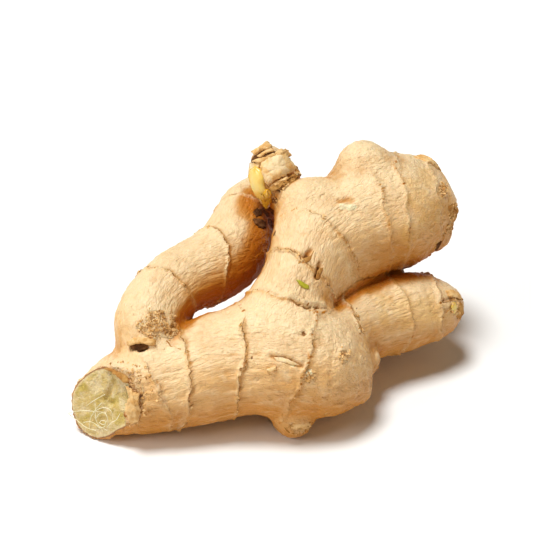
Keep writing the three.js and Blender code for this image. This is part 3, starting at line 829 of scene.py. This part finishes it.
def skinMaterial():
    look = skinLook
    material, shader, w = newMaterial(
        "gingerSkin", Subsurface_Weight=look["subsurface"], Subsurface_Radius=(1.0, 0.45, 0.18),
        Subsurface_Scale=0.002, Specular_IOR_Level=0.42)
    place = w.node("ShaderNodeTexCoord").outputs["Object"]

    def washed(colour, mask, share, tone):
        return w.mix(w.times(mask, share), colour, look[tone])

    def barky(attribute, fineness):
        return w.node("ShaderNodeGroup", {"node_tree": barkGroup}, Place=place, Mask=w.attribute(attribute),
                      Fineness=fineness).outputs

    wrinkles = w.node("ShaderNodeGroup", {"node_tree": wrinkleGroup}, Fineness=1.0, Detail=3.0).outputs
    broad, mottle = w.noise(place, 60.0, 2.0), w.noise(place, 230.0, 4.0, 0.62)
    specks = w.noise(place, 1000.0, 3.0, 0.65)
    colour = w.mix(w.remap(broad, 0.36, 0.66), look["peach"], look["tan"])
    colour = washed(colour, w.remap(mottle, 0.46, 0.72), 0.4, "cream")
    colour = washed(colour, w.remap(mottle, 0.44, 0.24), 0.35, "rust")
    # Painted light and shade by which way the skin faces: the top is painted a paler cream as if lit, the sides
    # tan, and the underside a saturated orange-brown painted shade
    turned = w.attribute("turned")
    colour = washed(colour, w.remap(turned, 0.25, 0.95), 0.6, "cream")
    colour = washed(colour, w.remap(turned, 0.5, -0.4), 0.88, "paintedShadeBrown")
    streak, furrow = wrinkles["Streak"], w.attribute("furrow")
    colour = washed(colour, w.remap(streak, 0.48, 0.3), 0.2, "rust")
    # Painted shade and highlight following the relief: rust brown in the bottoms of the furrows, paler cream on
    # their ridges
    colour = washed(colour, w.remap(furrow, 0.05, -0.35), 0.25, "rust")
    colour = washed(colour, w.remap(furrow, 0.35, 0.55), 0.2, "cream")
    colour = washed(colour, w.remap(specks, 0.64, 0.8), 0.3, "cork")
    colour = washed(colour, w.attribute("ochre"), 0.35, "ochre")
    # Painted shade in hollows and creases, wherever the root's own shape stands in the light's way: orange
    # brown, then a deeper brown further in
    shelter = w.attribute("shelter")
    colour = washed(colour, w.remap(shelter, 0.1, 0.42), 0.9, "paintedShadeBrown")
    colour = washed(colour, w.remap(shelter, 0.28, 0.62), 0.9, "paintedDeepShade")
    # Rings: a papery cream band before the line, a painted shadow past it, and a broken brown line
    near, dark = w.remap(w.attribute("ringAway"), 3.2, 1.8), w.attribute("ringDark")
    past = w.plus(w.attribute("ringPast"), w.math("MULTIPLY_ADD", w.noise(place, 700.0, 3.0), 1.4, -0.7))
    patchy = w.remap(w.noise(place, 170.0, 2.0), 0.36, 0.6)
    before = w.times(w.remap(past, -2.0, -0.3), w.remap(past, 0.3, -0.1))
    band = w.times(w.times(before, near), w.times(patchy, w.math("MULTIPLY_ADD", dark, 0.5, 0.15)))
    colour = w.mix(band, colour, look["ringCream"])
    # Painted shadow: just past each ring's lip the skin is darkened toward the stain colour, where the lip's
    # shade would fall
    shadow = w.times(w.times(w.remap(past, 2.0, 0.2), w.remap(past, -0.6, 0.1)), near)
    colour = washed(colour, w.times(shadow, dark), 0.75, "stain")
    width = w.math("MULTIPLY_ADD", w.noise(place, 300.0, 3.0, 0.7), 2.6, -1.2)
    width = w.times(w.math("MAXIMUM", width, 0.0), w.plus(dark, 0.1))
    line = w.math("DIVIDE", w.math("ABSOLUTE", past), w.math("MAXIMUM", width, 0.02))
    line = w.times(w.math("SUBTRACT", 1.0, line, clamp=True), near)
    line = w.times(w.remap(line, 0.0, 0.5), w.math("MULTIPLY_ADD", dark, 0.7, 0.2))
    colour = w.mix(line, colour, look["ringBrown"])
    # Scabs, pale scars and dark tears, with painted shade in the hollow under the flap
    bark = barky("cork", 750.0)
    crumbs = w.mix(bark["Crumbs"], look["cork"], look["ringCream"])
    crumbs = w.mix(w.remap(bark["Height"], 0.5, 0.36), crumbs, look["corkDark"])
    colour = w.mix(w.times(bark["Mask"], 0.65), colour, crumbs)
    tear = barky("dark", 900.0)
    scar = barky("pale", 500.0)
    colour = w.mix(scar["Mask"], colour, look["pale"])
    colour = w.mix(w.times(tear["Mask"], 0.92), colour, w.mix(tear["Crumbs"], look["dark"], look["corkDark"]))
    # The cut: a brown rim of skin, then wet flesh with greener and paler patches and darker bundles
    depth = w.plus(w.attribute("inside"), w.math("MULTIPLY_ADD", w.noise(place, 500.0, 3.0), 0.7, -0.35))
    bundles = w.node("ShaderNodeTexVoronoi", {"feature": "F1"}, Vector=place, Scale=620.0).outputs["Distance"]
    flesh = w.mix(w.remap(w.noise(place, 300.0, 4.0, 0.65), 0.4, 0.62), look["flesh"], look["fleshPale"])
    flesh = w.mix(w.times(w.remap(w.noise(place, 180.0, 3.0), 0.48, 0.66), 0.75), flesh, look["fleshGreen"])
    flesh = w.mix(w.times(w.remap(bundles, 0.2, 0.08), 0.5), flesh, look["fleshGreen"])
    flesh = w.mix(w.times(w.remap(depth, 1.8, 1.0), 0.6), flesh, look["fleshPale"])
    colour = w.mix(w.remap(depth, 0.3, 0.42), colour, w.mix(w.remap(depth, 0.55, 0.85), look["rim"], flesh))
    w.feed(shader.inputs["Base Color"], colour)

    rough = w.math("MULTIPLY_ADD", streak, -0.25, look["roughness"] + 0.12)
    rough = w.plus(rough, w.times(w.math("MAXIMUM", bark["Mask"], tear["Mask"]), 0.3))
    rough = w.math("SUBTRACT", rough, w.times(w.remap(depth, 0.3, 0.6), 0.12))
    w.feed(shader.inputs["Roughness"], rough)

    lip = w.times(w.remap(past, -1.6, -0.1), w.remap(past, 0.2, -0.1))
    lip = w.times(w.times(lip, near), w.math("MULTIPLY_ADD", dark, 0.4, 0.06))
    height = w.times(wrinkles["Height"], 0.6)
    height = w.plus(height, w.times(lip, w.plus(patchy, 0.3)))
    height = w.plus(height, w.times(mottle, 0.45))
    height = w.plus(height, w.times(specks, 0.2))
    height = w.plus(height, w.times(w.times(bark["Mask"], bark["Height"]), 0.9))
    height = w.math("SUBTRACT", height, w.times(line, 0.25))
    w.feed(shader.inputs["Normal"], w.bump(height))
    return material


# One plant-tissue material for the small pieces: two tones, a broken darker stain, and its own gloss
def tissueMaterial(name, tone, deep, stain, share, fineness, roughness, relief=0.35, subsurface=0.0):
    material, shader, w = newMaterial(
        name, Subsurface_Weight=subsurface, Subsurface_Radius=(1.0, 0.6, 0.25), Subsurface_Scale=0.002,
        Specular_IOR_Level=0.5 if roughness < 0.4 else 0.2)
    place = w.node("ShaderNodeTexCoord").outputs["Object"]
    cloud = w.noise(place, fineness * 0.6, 4.0, 0.6)
    bark = w.node("ShaderNodeGroup", {"node_tree": barkGroup}, Place=place, Mask=share,
                  Fineness=fineness).outputs
    colour = w.mix(w.remap(cloud, 0.38, 0.64), tone, deep)
    colour = w.mix(w.times(bark["Mask"], 0.85), colour, stain)
    w.feed(shader.inputs["Base Color"], colour)
    w.feed(shader.inputs["Roughness"], w.math("MULTIPLY_ADD", cloud, 0.25, roughness - 0.12))
    height = w.times(w.plus(cloud, bark["Height"]), relief)
    w.feed(shader.inputs["Normal"], w.bump(height))
    return material


tissues = {
    "papery": tissueMaterial(
        "paperyScale", (0.88, 0.59, 0.27), (0.70, 0.38, 0.12), (0.42, 0.17, 0.035),
        share=0.3, fineness=700, roughness=0.6),
    "bark": tissueMaterial(
        "corkyScale", (0.60, 0.32, 0.09), (0.44, 0.19, 0.04), (0.18, 0.065, 0.012),
        share=0.35, fineness=600, roughness=0.8, relief=0.6),
    "dark": tissueMaterial(
        "driedScale", (0.19, 0.078, 0.022), (0.085, 0.03, 0.008), (0.36, 0.17, 0.05),
        share=0.3, fineness=700, roughness=0.8, relief=0.6),
    "cream": tissueMaterial(
        "budSheath", (0.94, 0.72, 0.42), (0.84, 0.52, 0.20), (0.55, 0.27, 0.06),
        share=0.3, fineness=450, roughness=0.42, relief=0.5, subsurface=0.1),
    "yellow": tissueMaterial(
        "budFlesh", (0.92, 0.68, 0.19), (0.84, 0.50, 0.08), (0.95, 0.80, 0.42),
        share=0.15, fineness=260, roughness=0.25, relief=0.1, subsurface=0.2),
    "amber": tissueMaterial(
        "budAmber", (0.66, 0.34, 0.02), (0.46, 0.18, 0.01), (0.80, 0.52, 0.08),
        share=0.2, fineness=400, roughness=0.2, relief=0.25, subsurface=0.2),
    "green": tissueMaterial(
        "greenSprout", (0.55, 0.52, 0.03), (0.35, 0.33, 0.02), (0.72, 0.66, 0.16),
        share=0.15, fineness=600, roughness=0.3, relief=0.12, subsurface=0.15),
    "fibre": tissueMaterial(
        "fleshFibre", (0.92, 0.88, 0.68), (0.80, 0.72, 0.42), (0.62, 0.52, 0.22),
        share=0.12, fineness=900, roughness=0.4, relief=0.1),
}


# Small scales that lie on the skin, given by the outline that the photograph shows of each

scales = {
    "budSheath": {
        "tissue": "cream", "lift": 0.8, "thick": 2.0, "ragged": 0.9,
        "outline": [
            (261, 163), (267, 158), (276, 155), (284, 154), (289, 158), (296, 166), (293, 171), (285, 176),
            (276, 180), (268, 185), (263, 178),
        ],
    },
    "budSheathLeft": {
        "tissue": "cream", "lift": 0.2, "thick": 0.9, "ragged": 0.6,
        "outline": [
            (250, 163), (255, 160), (262, 163), (261, 167), (254, 170), (252, 180), (256, 192), (264, 203),
            (262, 206), (254, 198), (250, 188), (248, 175),
        ],
    },
    "budCrescent": {
        "tissue": "yellow", "lift": 0.7, "thick": 2.2, "ragged": 0.1,
        "outline": [
            (252, 169), (257, 166), (262, 170), (265, 177), (265, 186), (267, 192), (265, 200), (260, 198),
            (255, 190), (252, 181), (250, 174),
        ],
    },
    "budAmber": {
        "tissue": "amber", "lift": 0.6, "thick": 1.8, "ragged": 0.4,
        "outline": [(265, 189), (269, 189), (272, 194), (272, 202), (268, 208), (264, 205), (262, 198)],
    },
    "budBase": {
        "tissue": "bark", "lift": 0.5, "thick": 1.0, "ragged": 1.3,
        "outline": [
            (269, 188), (277, 183), (286, 179), (294, 175), (299, 176), (295, 182), (287, 185), (280, 186),
            (273, 192),
        ],
    },
    "budBaseCrumb": {
        "tissue": "papery", "lift": 0.9, "thick": 0.6, "ragged": 1.2,
        "outline": [(273, 184), (279, 180), (286, 177), (288, 180), (281, 184), (276, 187)],
    },
    "budCrownLeft": {
        "tissue": "papery", "lift": 1.3, "thick": 0.6, "ragged": 0.8,
        "outline": [(253, 153), (258, 151), (267, 144), (272, 149), (268, 151), (262, 152), (257, 156)],
    },
    "budCrownDark": {
        "tissue": "dark", "lift": 0.3, "thick": 0.7, "ragged": 0.8,
        "outline": [
            (255, 155), (262, 151), (269, 149), (276, 152), (273, 158), (263, 161), (256, 164), (251, 162),
        ],
    },
    "budCrownRidge": {
        "tissue": "papery", "lift": 1.1, "thick": 0.6, "ragged": 0.6,
        "outline": [(258, 157), (264, 153), (271, 150), (274, 152), (268, 154), (262, 158)],
    },
    "budCrownLow": {
        "tissue": "papery", "lift": 0.9, "thick": 0.6, "ragged": 0.7,
        "outline": [(253, 162), (259, 159), (266, 158), (273, 154), (276, 156), (269, 160), (260, 163)],
    },
    "budSide": {
        "tissue": "cream", "lift": 0.5, "thick": 1.2, "ragged": 0.4,
        "outline": [(294, 166), (298, 167), (301, 172), (300, 177), (296, 177), (294, 172)],
    },
    "budCrownRight": {
        "tissue": "papery", "lift": 1.3, "thick": 0.6, "ragged": 1.2,
        "outline": [(275, 154), (280, 151), (286, 152), (289, 157), (283, 158), (277, 157)],
    },
    # Painted shade: a dark sheet sunk in the hollow under the flap stands for the shade beneath the flap's
    # overhang
    "flapHollow": {
        "tissue": "dark", "lift": -0.2, "thick": 0.5, "ragged": 0.5,
        "outline": [(128, 344), (135, 343), (143, 343), (149, 345), (146, 349), (138, 351), (130, 349)],
    },
    "flap": {
        "tissue": "papery", "lift": 1.3, "thick": 0.9, "ragged": 0.7,
        "outline": [
            (129, 342), (136, 338), (146, 338), (154, 340), (156, 345), (150, 346), (144, 344), (136, 344),
            (130, 346),
        ],
    },
    "neckTear": {
        "tissue": "bark", "lift": -0.1, "thick": 0.4, "ragged": 0.3,
        "outline": [(304, 258), (307, 257), (311, 255), (314, 250), (313, 257), (309, 262), (306, 263)],
    },
    "neckTearLow": {
        "tissue": "bark", "lift": -0.1, "thick": 0.4, "ragged": 0.4,
        "outline": [(316, 279), (317, 272), (320, 268), (324, 267), (321, 274), (319, 280)],
    },
    "endTorn": {
        "tissue": "papery", "lift": 0.3, "thick": 0.7, "ragged": 0.8,
        "outline": [
            (414, 157), (421, 154), (429, 157), (437, 164), (441, 171), (435, 167), (428, 162), (420, 159),
        ],
    },
    "driedScab": {
        "tissue": "dark", "lift": 0.1, "thick": 0.6, "ragged": 1.1,
        "outline": [(252, 213), (257, 208), (262, 210), (262, 216), (256, 217)],
    },
    "driedScabLow": {
        "tissue": "dark", "lift": 0.1, "thick": 0.6, "ragged": 1.3,
        "outline": [(252, 219), (258, 218), (266, 222), (267, 229), (261, 229), (255, 224)],
    },
    "endScab": {
        "tissue": "bark", "lift": 0.1, "thick": 0.9, "ragged": 1.2,
        "outline": [(446, 208), (452, 203), (458, 208), (460, 214), (455, 220), (449, 218)],
    },
    "endSpot": {
        "tissue": "dark", "lift": 0.0, "thick": 0.5, "ragged": 0.6,
        "outline": [(434, 247), (438, 242), (442, 241), (440, 247), (436, 251)],
    },
    "tipScale": {
        "tissue": "papery", "lift": 0.5, "thick": 0.5, "ragged": 1.0,
        "outline": [(445, 291), (452, 290), (459, 294), (462, 300), (456, 298), (449, 297)],
    },
    "tipBark": {
        "tissue": "bark", "lift": 0.2, "thick": 0.7, "ragged": 1.1,
        "outline": [(457, 302), (462, 304), (463, 313), (460, 320), (456, 316), (458, 309)],
    },
    "tipFlesh": {
        "tissue": "yellow", "lift": 0.05, "thick": 0.5, "ragged": 0.5,
        "outline": [(452, 301), (457, 301), (457, 309), (454, 315), (451, 309)],
    },
    "stubCore": {
        "tissue": "papery", "lift": -0.15, "thick": 0.8, "ragged": 1.3,
        "outline": [
            (288, 428), (292, 424), (300, 421), (309, 422), (313, 426), (308, 430), (300, 429), (294, 431),
        ],
    },
    "sliver": {
        "tissue": "green", "lift": 0.3, "thick": 1.1, "ragged": 0.15,
        "outline": [(296, 280), (299, 280), (304, 283), (309, 286), (309, 289), (305, 289), (300, 286)],
    },
    "paperFlake": {
        "tissue": "cream", "lift": 1.2, "thick": 0.35, "ragged": 0.5,
        "outline": [(267, 369), (271, 367), (277, 366), (276, 369), (271, 371)],
    },
    "gougeFloor": {
        "tissue": "cream", "lift": -0.2, "thick": 0.5, "ragged": 0.5,
        "outline": [(274, 357), (282, 357), (290, 360), (300, 365), (292, 365), (283, 362), (276, 361)],
    },
    "cutSkinTop": {
        "tissue": "bark", "lift": 0.2, "thick": 0.7, "ragged": 1.0,
        "outline": [
            (106, 371), (113, 370), (121, 374), (128, 378), (131, 384), (126, 385), (120, 379), (113, 375),
        ],
    },
    "cutSkinSide": {
        "tissue": "papery", "lift": 0.4, "thick": 0.6, "ragged": 1.2,
        "outline": [
            (127, 386), (133, 390), (140, 393), (139, 401), (141, 410), (138, 420), (131, 424), (130, 414),
            (127, 404), (130, 395),
        ],
    },
}


# An outline's points stand a step of pixels apart; the rest is millimetres
scaleForm = {"edgeStep": 1.1, "depthReach": 3, "standOff": 0.9, "rooted": -0.3, "rows": 6}


def scalePiece(name, outline, tissue, lift, thick, ragged):
    rows = scaleForm["rows"]
    corners = np.array(outline, float)
    loop = []
    for start, end in zip(corners, np.roll(corners, -1, axis=0)):
        steps = max(2, int(np.linalg.norm(end - start) / scaleForm["edgeStep"]))
        loop += [start + (end - start) * i / steps for i in range(steps)]
    loop = np.array(loop)
    centre = loop.mean(0)
    away = (loop - centre) / np.linalg.norm(loop - centre, axis=1, keepdims=True)
    loop = loop + away * (chance.uniform(-1, 0.6, (len(loop), 1)) * ragged)
    count = len(loop)
    shares = np.linspace(0, 1, rows + 1)[1:]
    flat = np.vstack([centre[None], *(centre + share * (loop - centre) for share in shares)])
    reach = np.concatenate([[0], np.repeat(shares, count)])
    # No point of a scale may land on what lies behind it
    base = seenAt(flat)
    eye, _ = cameraRays(flat[:1])
    depth = np.linalg.norm(base - eye, axis=1)
    nearest = np.percentile(depth, 25)
    depth = np.clip(depth, nearest - scaleForm["depthReach"], nearest + scaleForm["depthReach"]) / depth
    base = eye + (base - eye) * depth[:, None]
    # Nor may one stand further off the skin than a torn edge does
    for _ in range(5):
        off, slope = fieldSlope(rootField, base)
        normal = slope / np.maximum(np.linalg.norm(slope, axis=1, keepdims=True), 1e-6)
        back = np.where(off < 0, off, np.maximum(off - scaleForm["standOff"], 0))
        base = base - normal * back[:, None]
    waves = 0.3 * ragged * patchwork(base / 1.2, 71)
    half = 0.5 * thick * np.sqrt(np.clip(1 - reach**2.5, 0, 1))
    top = base + normal * (lift + waves + half)[:, None]
    under = base + normal * np.minimum(lift + waves - half, scaleForm["rooted"])[:, None]
    rim = slice(1 + (rows - 1) * count, 1 + rows * count)
    top[rim] = base[rim] + normal[rim] * (lift + waves[rim])[:, None]
    faces, total = [], len(flat)
    for layer, turn in ((0, 1), (total, -1)):
        for i in range(count):
            j = (i + 1) % count
            faces.append([layer, layer + 1 + i, layer + 1 + j][::turn])
            for row in range(rows - 1):
                a, b = layer + 1 + row * count, layer + 1 + (row + 1) * count
                faces.append([a + i, b + i, b + j, a + j][::turn])
    edge = rim.start
    for i in range(count):
        j = (i + 1) % count
        faces.append([edge + i, total + edge + i, total + edge + j, edge + j])
    piece = newPiece(name, np.vstack([top, under]), faces, material=tissues[tissue])
    tidy = bmesh.new()
    tidy.from_mesh(piece.data)
    bmesh.ops.recalc_face_normals(tidy, faces=tidy.faces)
    tidy.to_mesh(piece.data)
    tidy.free()
    return piece


# Geometry Nodes: ragged flakes or crumbs strewn where an attribute of the skin says, and threads along paths


def strewnGroup():
    group, w, entry, leave = newGroup(
        "strewnScales", "GeometryNodeTree",
        {
            "Geometry": ("NodeSocketGeometry", None), "Mask": ("NodeSocketString", ""),
            "Density": ("NodeSocketFloat", 1.0), "Size": ("NodeSocketVector", None),
            "Tilt": ("NodeSocketFloat", 0.6), "Raggedness": ("NodeSocketFloat", 0.1),
            "Seed": ("NodeSocketInt", 1), "Material": ("NodeSocketMaterial", None),
        },
        {"Geometry": "NodeSocketGeometry"})

    def noted(kind, name):
        return w.node("GeometryNodeInputNamedAttribute", {"data_type": kind}, Name=name).outputs["Attribute"]

    def drawn(seed, low, high):
        made = w.node("FunctionNodeRandomValue", {"data_type": "FLOAT"}, Seed=seed)
        w.feed(made.inputs[2], low)
        w.feed(made.inputs[3], high)
        return made.outputs[1]

    mask, heading = noted("FLOAT", entry["Mask"]), noted("FLOAT_VECTOR", "heading")
    points = w.node("GeometryNodeDistributePointsOnFaces", Mesh=entry["Geometry"], Seed=entry["Seed"])
    w.feed(points.inputs["Density"], w.times(mask, entry["Density"]))
    chip = w.node("GeometryNodeMeshCube", Size=entry["Size"], Vertices_X=4, Vertices_Y=3, Vertices_Z=2)
    upright = w.node("FunctionNodeAlignRotationToVector", {"axis": "Z"}, Vector=points.outputs["Normal"])
    along = w.node("FunctionNodeAlignRotationToVector", {"axis": "X", "pivot_axis": "Z"},
                   Rotation=upright.outputs[0], Vector=heading)
    spin = drawn(entry["Seed"], -0.7, 0.7)
    lean = drawn(3, w.times(entry["Tilt"], -1.0), 0.0)
    angles = w.node("ShaderNodeCombineXYZ", X=w.times(spin, 0.5), Y=lean, Z=spin)
    turn = w.node("FunctionNodeEulerToRotation", Euler=angles.outputs[0]).outputs[0]
    placed = w.node("FunctionNodeRotateRotation", {"rotation_space": "LOCAL"},
                    Rotation=along.outputs[0], Rotate_By=turn)
    strewn = w.node("GeometryNodeInstanceOnPoints", Points=points.outputs["Points"],
                    Instance=chip.outputs["Mesh"], Rotation=placed.outputs[0], Scale=drawn(5, 0.45, 1.35))
    real = w.node("GeometryNodeRealizeInstances", Geometry=strewn.outputs[0]).outputs[0]
    where = w.node("GeometryNodeInputPosition").outputs[0]
    rough = w.node("ShaderNodeTexNoise", Vector=where, Scale=1400.0, Detail=1.0).outputs["Color"]
    shift = w.node("ShaderNodeVectorMath", {"operation": "SUBTRACT"})
    w.feed(shift.inputs[0], rough)
    w.feed(shift.inputs[1], (0.5, 0.5, 0.5))
    offset = w.scaled(shift.outputs[0], entry["Raggedness"])
    torn = w.node("GeometryNodeSetPosition", Geometry=real, Offset=offset)
    coated = w.node("GeometryNodeSetMaterial", Geometry=torn.outputs[0], Material=entry["Material"])
    w.feed(leave["Geometry"], coated.outputs[0])
    return group


def threadGroup():
    group, w, entry, leave = newGroup(
        "threadAlongPath", "GeometryNodeTree",
        {
            "Geometry": ("NodeSocketGeometry", None), "Radius": ("NodeSocketFloat", 0.0001),
            "Material": ("NodeSocketMaterial", None),
        },
        {"Geometry": "NodeSocketGeometry"})
    curve = w.node("GeometryNodeMeshToCurve", Mesh=entry["Geometry"]).outputs[0]
    ring = w.node("GeometryNodeCurvePrimitiveCircle", Resolution=5, Radius=entry["Radius"]).outputs["Curve"]
    tube = w.node("GeometryNodeCurveToMesh", Curve=curve, Profile_Curve=ring, Fill_Caps=True).outputs[0]
    real = w.node("GeometryNodeRealizeInstances", Geometry=tube).outputs[0]
    smooth = w.node("GeometryNodeSetShadeSmooth", Geometry=real).outputs[0]
    coated = w.node("GeometryNodeSetMaterial", Geometry=smooth, Material=entry["Material"])
    w.feed(leave["Geometry"], coated.outputs[0])
    return group


def grown(piece, group, **values):
    modifier = piece.modifiers.new("grown", "NODES")
    modifier.node_group = group
    for item in group.interface.items_tree:
        if item.item_type == "SOCKET" and item.in_out == "INPUT" and item.name in values:
            modifier[item.identifier] = values[item.name]
    bpy.context.view_layer.update()
    depsgraph = bpy.context.evaluated_depsgraph_get()
    mesh = bpy.data.meshes.new_from_object(piece.evaluated_get(depsgraph))
    piece.modifiers.remove(modifier)
    piece.data = mesh
    mesh.name = piece.name
    print(piece.name, "grown:", len(mesh.polygons), "faces")
    return piece


# Flakes and crumbs strewn over the skin: lengths in metres, density as a count for each square metre
strewing = {
    "ringFlakes": {
        "Mask": "flaking", "Density": 1.3e6, "Size": (0.0011, 0.0009, 0.00014),
        "Tilt": 0.8, "Raggedness": 0.0006, "tissue": "papery",
    },
    "ringShards": {
        "Mask": "flaking", "Density": 0.5e6, "Size": (0.0008, 0.0005, 0.00014),
        "Tilt": 0.6, "Raggedness": 0.0004, "tissue": "bark",
    },
    "barkCrumbs": {
        "Mask": "crumbly", "Density": 1.5e6, "Size": (0.0006, 0.0005, 0.0004),
        "Tilt": 1.4, "Raggedness": 0.0005, "tissue": "papery",
    },
    "barkChips": {
        "Mask": "crumbly", "Density": 0.6e6, "Size": (0.0006, 0.0004, 0.0003),
        "Tilt": 1.4, "Raggedness": 0.0005, "tissue": "bark",
    },
}
# Fibres pulled out of the flesh by the knife, as the photograph shows them
fibres = {
    "long": [(69, 413), (76, 411), (86, 410), (97, 411), (107, 412)],
    "longLow": [(70, 414), (79, 420), (88, 427), (97, 430)],
    "bow": [(90, 428), (92, 418), (97, 409), (103, 402)],
    "hook": [(97, 418), (101, 413), (107, 413), (109, 419), (105, 424), (100, 422)],
    "curl": [(100, 423), (103, 420), (107, 421), (106, 426), (101, 427), (97, 424)],
    "low": [(84, 422), (92, 421), (100, 425), (108, 430)],
    "cross": [(96, 400), (97, 410), (98, 420), (104, 431)],
    "right": [(108, 427), (113, 422), (118, 419), (121, 413)],
    "upper": [(88, 405), (97, 399), (106, 394)],
    "loop": [(93, 415), (99, 409), (107, 407), (113, 411), (114, 419)],
}


# Dark seams between the bud's scales and along torn edges
seams = {
    "underSheath": [(298, 167), (293, 173), (285, 176), (273, 183), (267, 188)],
    "besideCrescent": [(263, 163), (264, 171), (267, 179), (267, 188)],
    "crown": [(252, 165), (258, 163), (265, 161), (273, 158)],
    "stub": [(286, 428), (293, 426), (299, 429), (305, 426), (311, 427)],
    "stubRim": [(283, 414), (283, 424), (289, 432), (299, 435)],
    "tip": [(441, 301), (446, 302), (451, 300), (459, 299)],
    "tipLow": [(446, 313), (450, 309), (455, 306)],
    "hollow": [(165, 339), (171, 346), (181, 349)],
}


def smoothPath(points, steps=6):
    points = np.asarray(points, float)
    padded = np.vstack([2 * points[0] - points[1], points, 2 * points[-1] - points[-2]])
    made = []
    for a, b, c, d in zip(padded, padded[1:], padded[2:], padded[3:]):
        for t in np.arange(steps) / steps:
            square, cube = a * 2 - b * 5 + c * 4 - d, -a + b * 3 - c * 3 + d
            made.append(b + (c - a) / 2 * t + square / 2 * t**2 + cube / 2 * t**3)
    return np.array([*made, points[-1]])


def makeFibres(group):
    facing = np.array(knife["facing"]) / np.linalg.norm(knife["facing"])
    points, edges = [], []
    for index, pixels in enumerate(fibres.values()):
        path = smoothPath(pixels)
        rise = 0.35 + 0.5 * np.sin(np.linspace(0.2, 2.9, len(path))) + 0.12 * index / len(fibres)
        path = seenAt(path) + facing * rise[:, None]
        edges += [(len(points) + i, len(points) + i + 1) for i in range(len(path) - 1)]
        points += list(path)
    piece = newPiece("fleshFibres", points, [], edges)
    return grown(piece, group, Radius=0.00011, Material=tissues["fibre"])


def makeSeams(group):
    points, edges = [], []
    for pixels in seams.values():
        path = seenAt(smoothPath(pixels))
        path += 0.35 * np.stack([patchwork(path / 1.1, seed) for seed in (81, 82, 83)], axis=1)
        steps = np.linalg.norm(np.diff(path, axis=0), axis=1)
        edges += [(len(points) + i, len(points) + i + 1) for i in range(len(path) - 1) if steps[i] < 3]
        points += list(path)
    piece = newPiece("darkSeams", points, [], edges)
    return grown(piece, group, Radius=0.00018, Material=tissues["bark"])


def makeDetails(skin):
    threads, strewn = threadGroup(), strewnGroup()
    made = [scalePiece(name, **scale) for name, scale in scales.items()]
    print("scales made:", len(made))
    made += [makeFibres(threads), makeSeams(threads)]
    for seed, (name, values) in enumerate(strewing.items()):
        piece = bpy.data.objects.new(name, skin.data.copy())
        bpy.context.scene.collection.objects.link(piece)
        sockets = {key: value for key, value in values.items() if key != "tissue"}
        made.append(grown(piece, strewn, Seed=seed + 7, Material=tissues[values["tissue"]], **sockets))
    for piece in made:
        settle(piece)


# Stage and light

lighting = {
    "sky": (1.0, 0.86, 0.68), "skyStrength": 0.15, "floor": (0.95, 0.945, 0.935),
    "key": {"from": (-0.25, 0.06, 1.1), "softness": 22, "strength": 3.1, "colour": (0.96, 0.99, 1.0)},
    "left": {"from": (-1.0, -0.4, 0.6), "softness": 26, "strength": 1.0, "colour": (1.0, 0.97, 0.92)},
    "fill": {"from": (0.5, -0.9, 0.45), "softness": 60, "strength": 0.25, "colour": (1.0, 0.64, 0.32)},
}


def makeStage():
    bpy.ops.mesh.primitive_plane_add(size=6)
    floor = bpy.context.object
    floor.name = "floor"
    material, _, _ = newMaterial(
        "paleSurface", Base_Color=(*lighting["floor"], 1), Roughness=0.85, Specular_IOR_Level=0.1)
    floor.data.materials.append(material)
    world = bpy.data.worlds.new("studio")
    bpy.context.scene.world = world
    world.use_nodes = True
    background = world.node_tree.nodes["Background"]
    background.inputs["Color"].default_value = (*lighting["sky"], 1)
    background.inputs["Strength"].default_value = lighting["skyStrength"]
    for name in ("key", "left", "fill"):
        look = lighting[name]
        light = bpy.data.lights.new(name, "SUN")
        light.angle = math.radians(look["softness"])
        light.energy, light.color = look["strength"], look["colour"]
        lamp = bpy.data.objects.new(name, light)
        bpy.context.scene.collection.objects.link(lamp)
        lamp.rotation_euler = Vector(look["from"]).to_track_quat("Z", "Y").to_euler()
    bpy.context.scene.view_settings.view_transform = "Standard"


makeStage()
skin = makeBody()
makeDetails(skin)
settle(skin, skinMaterial())
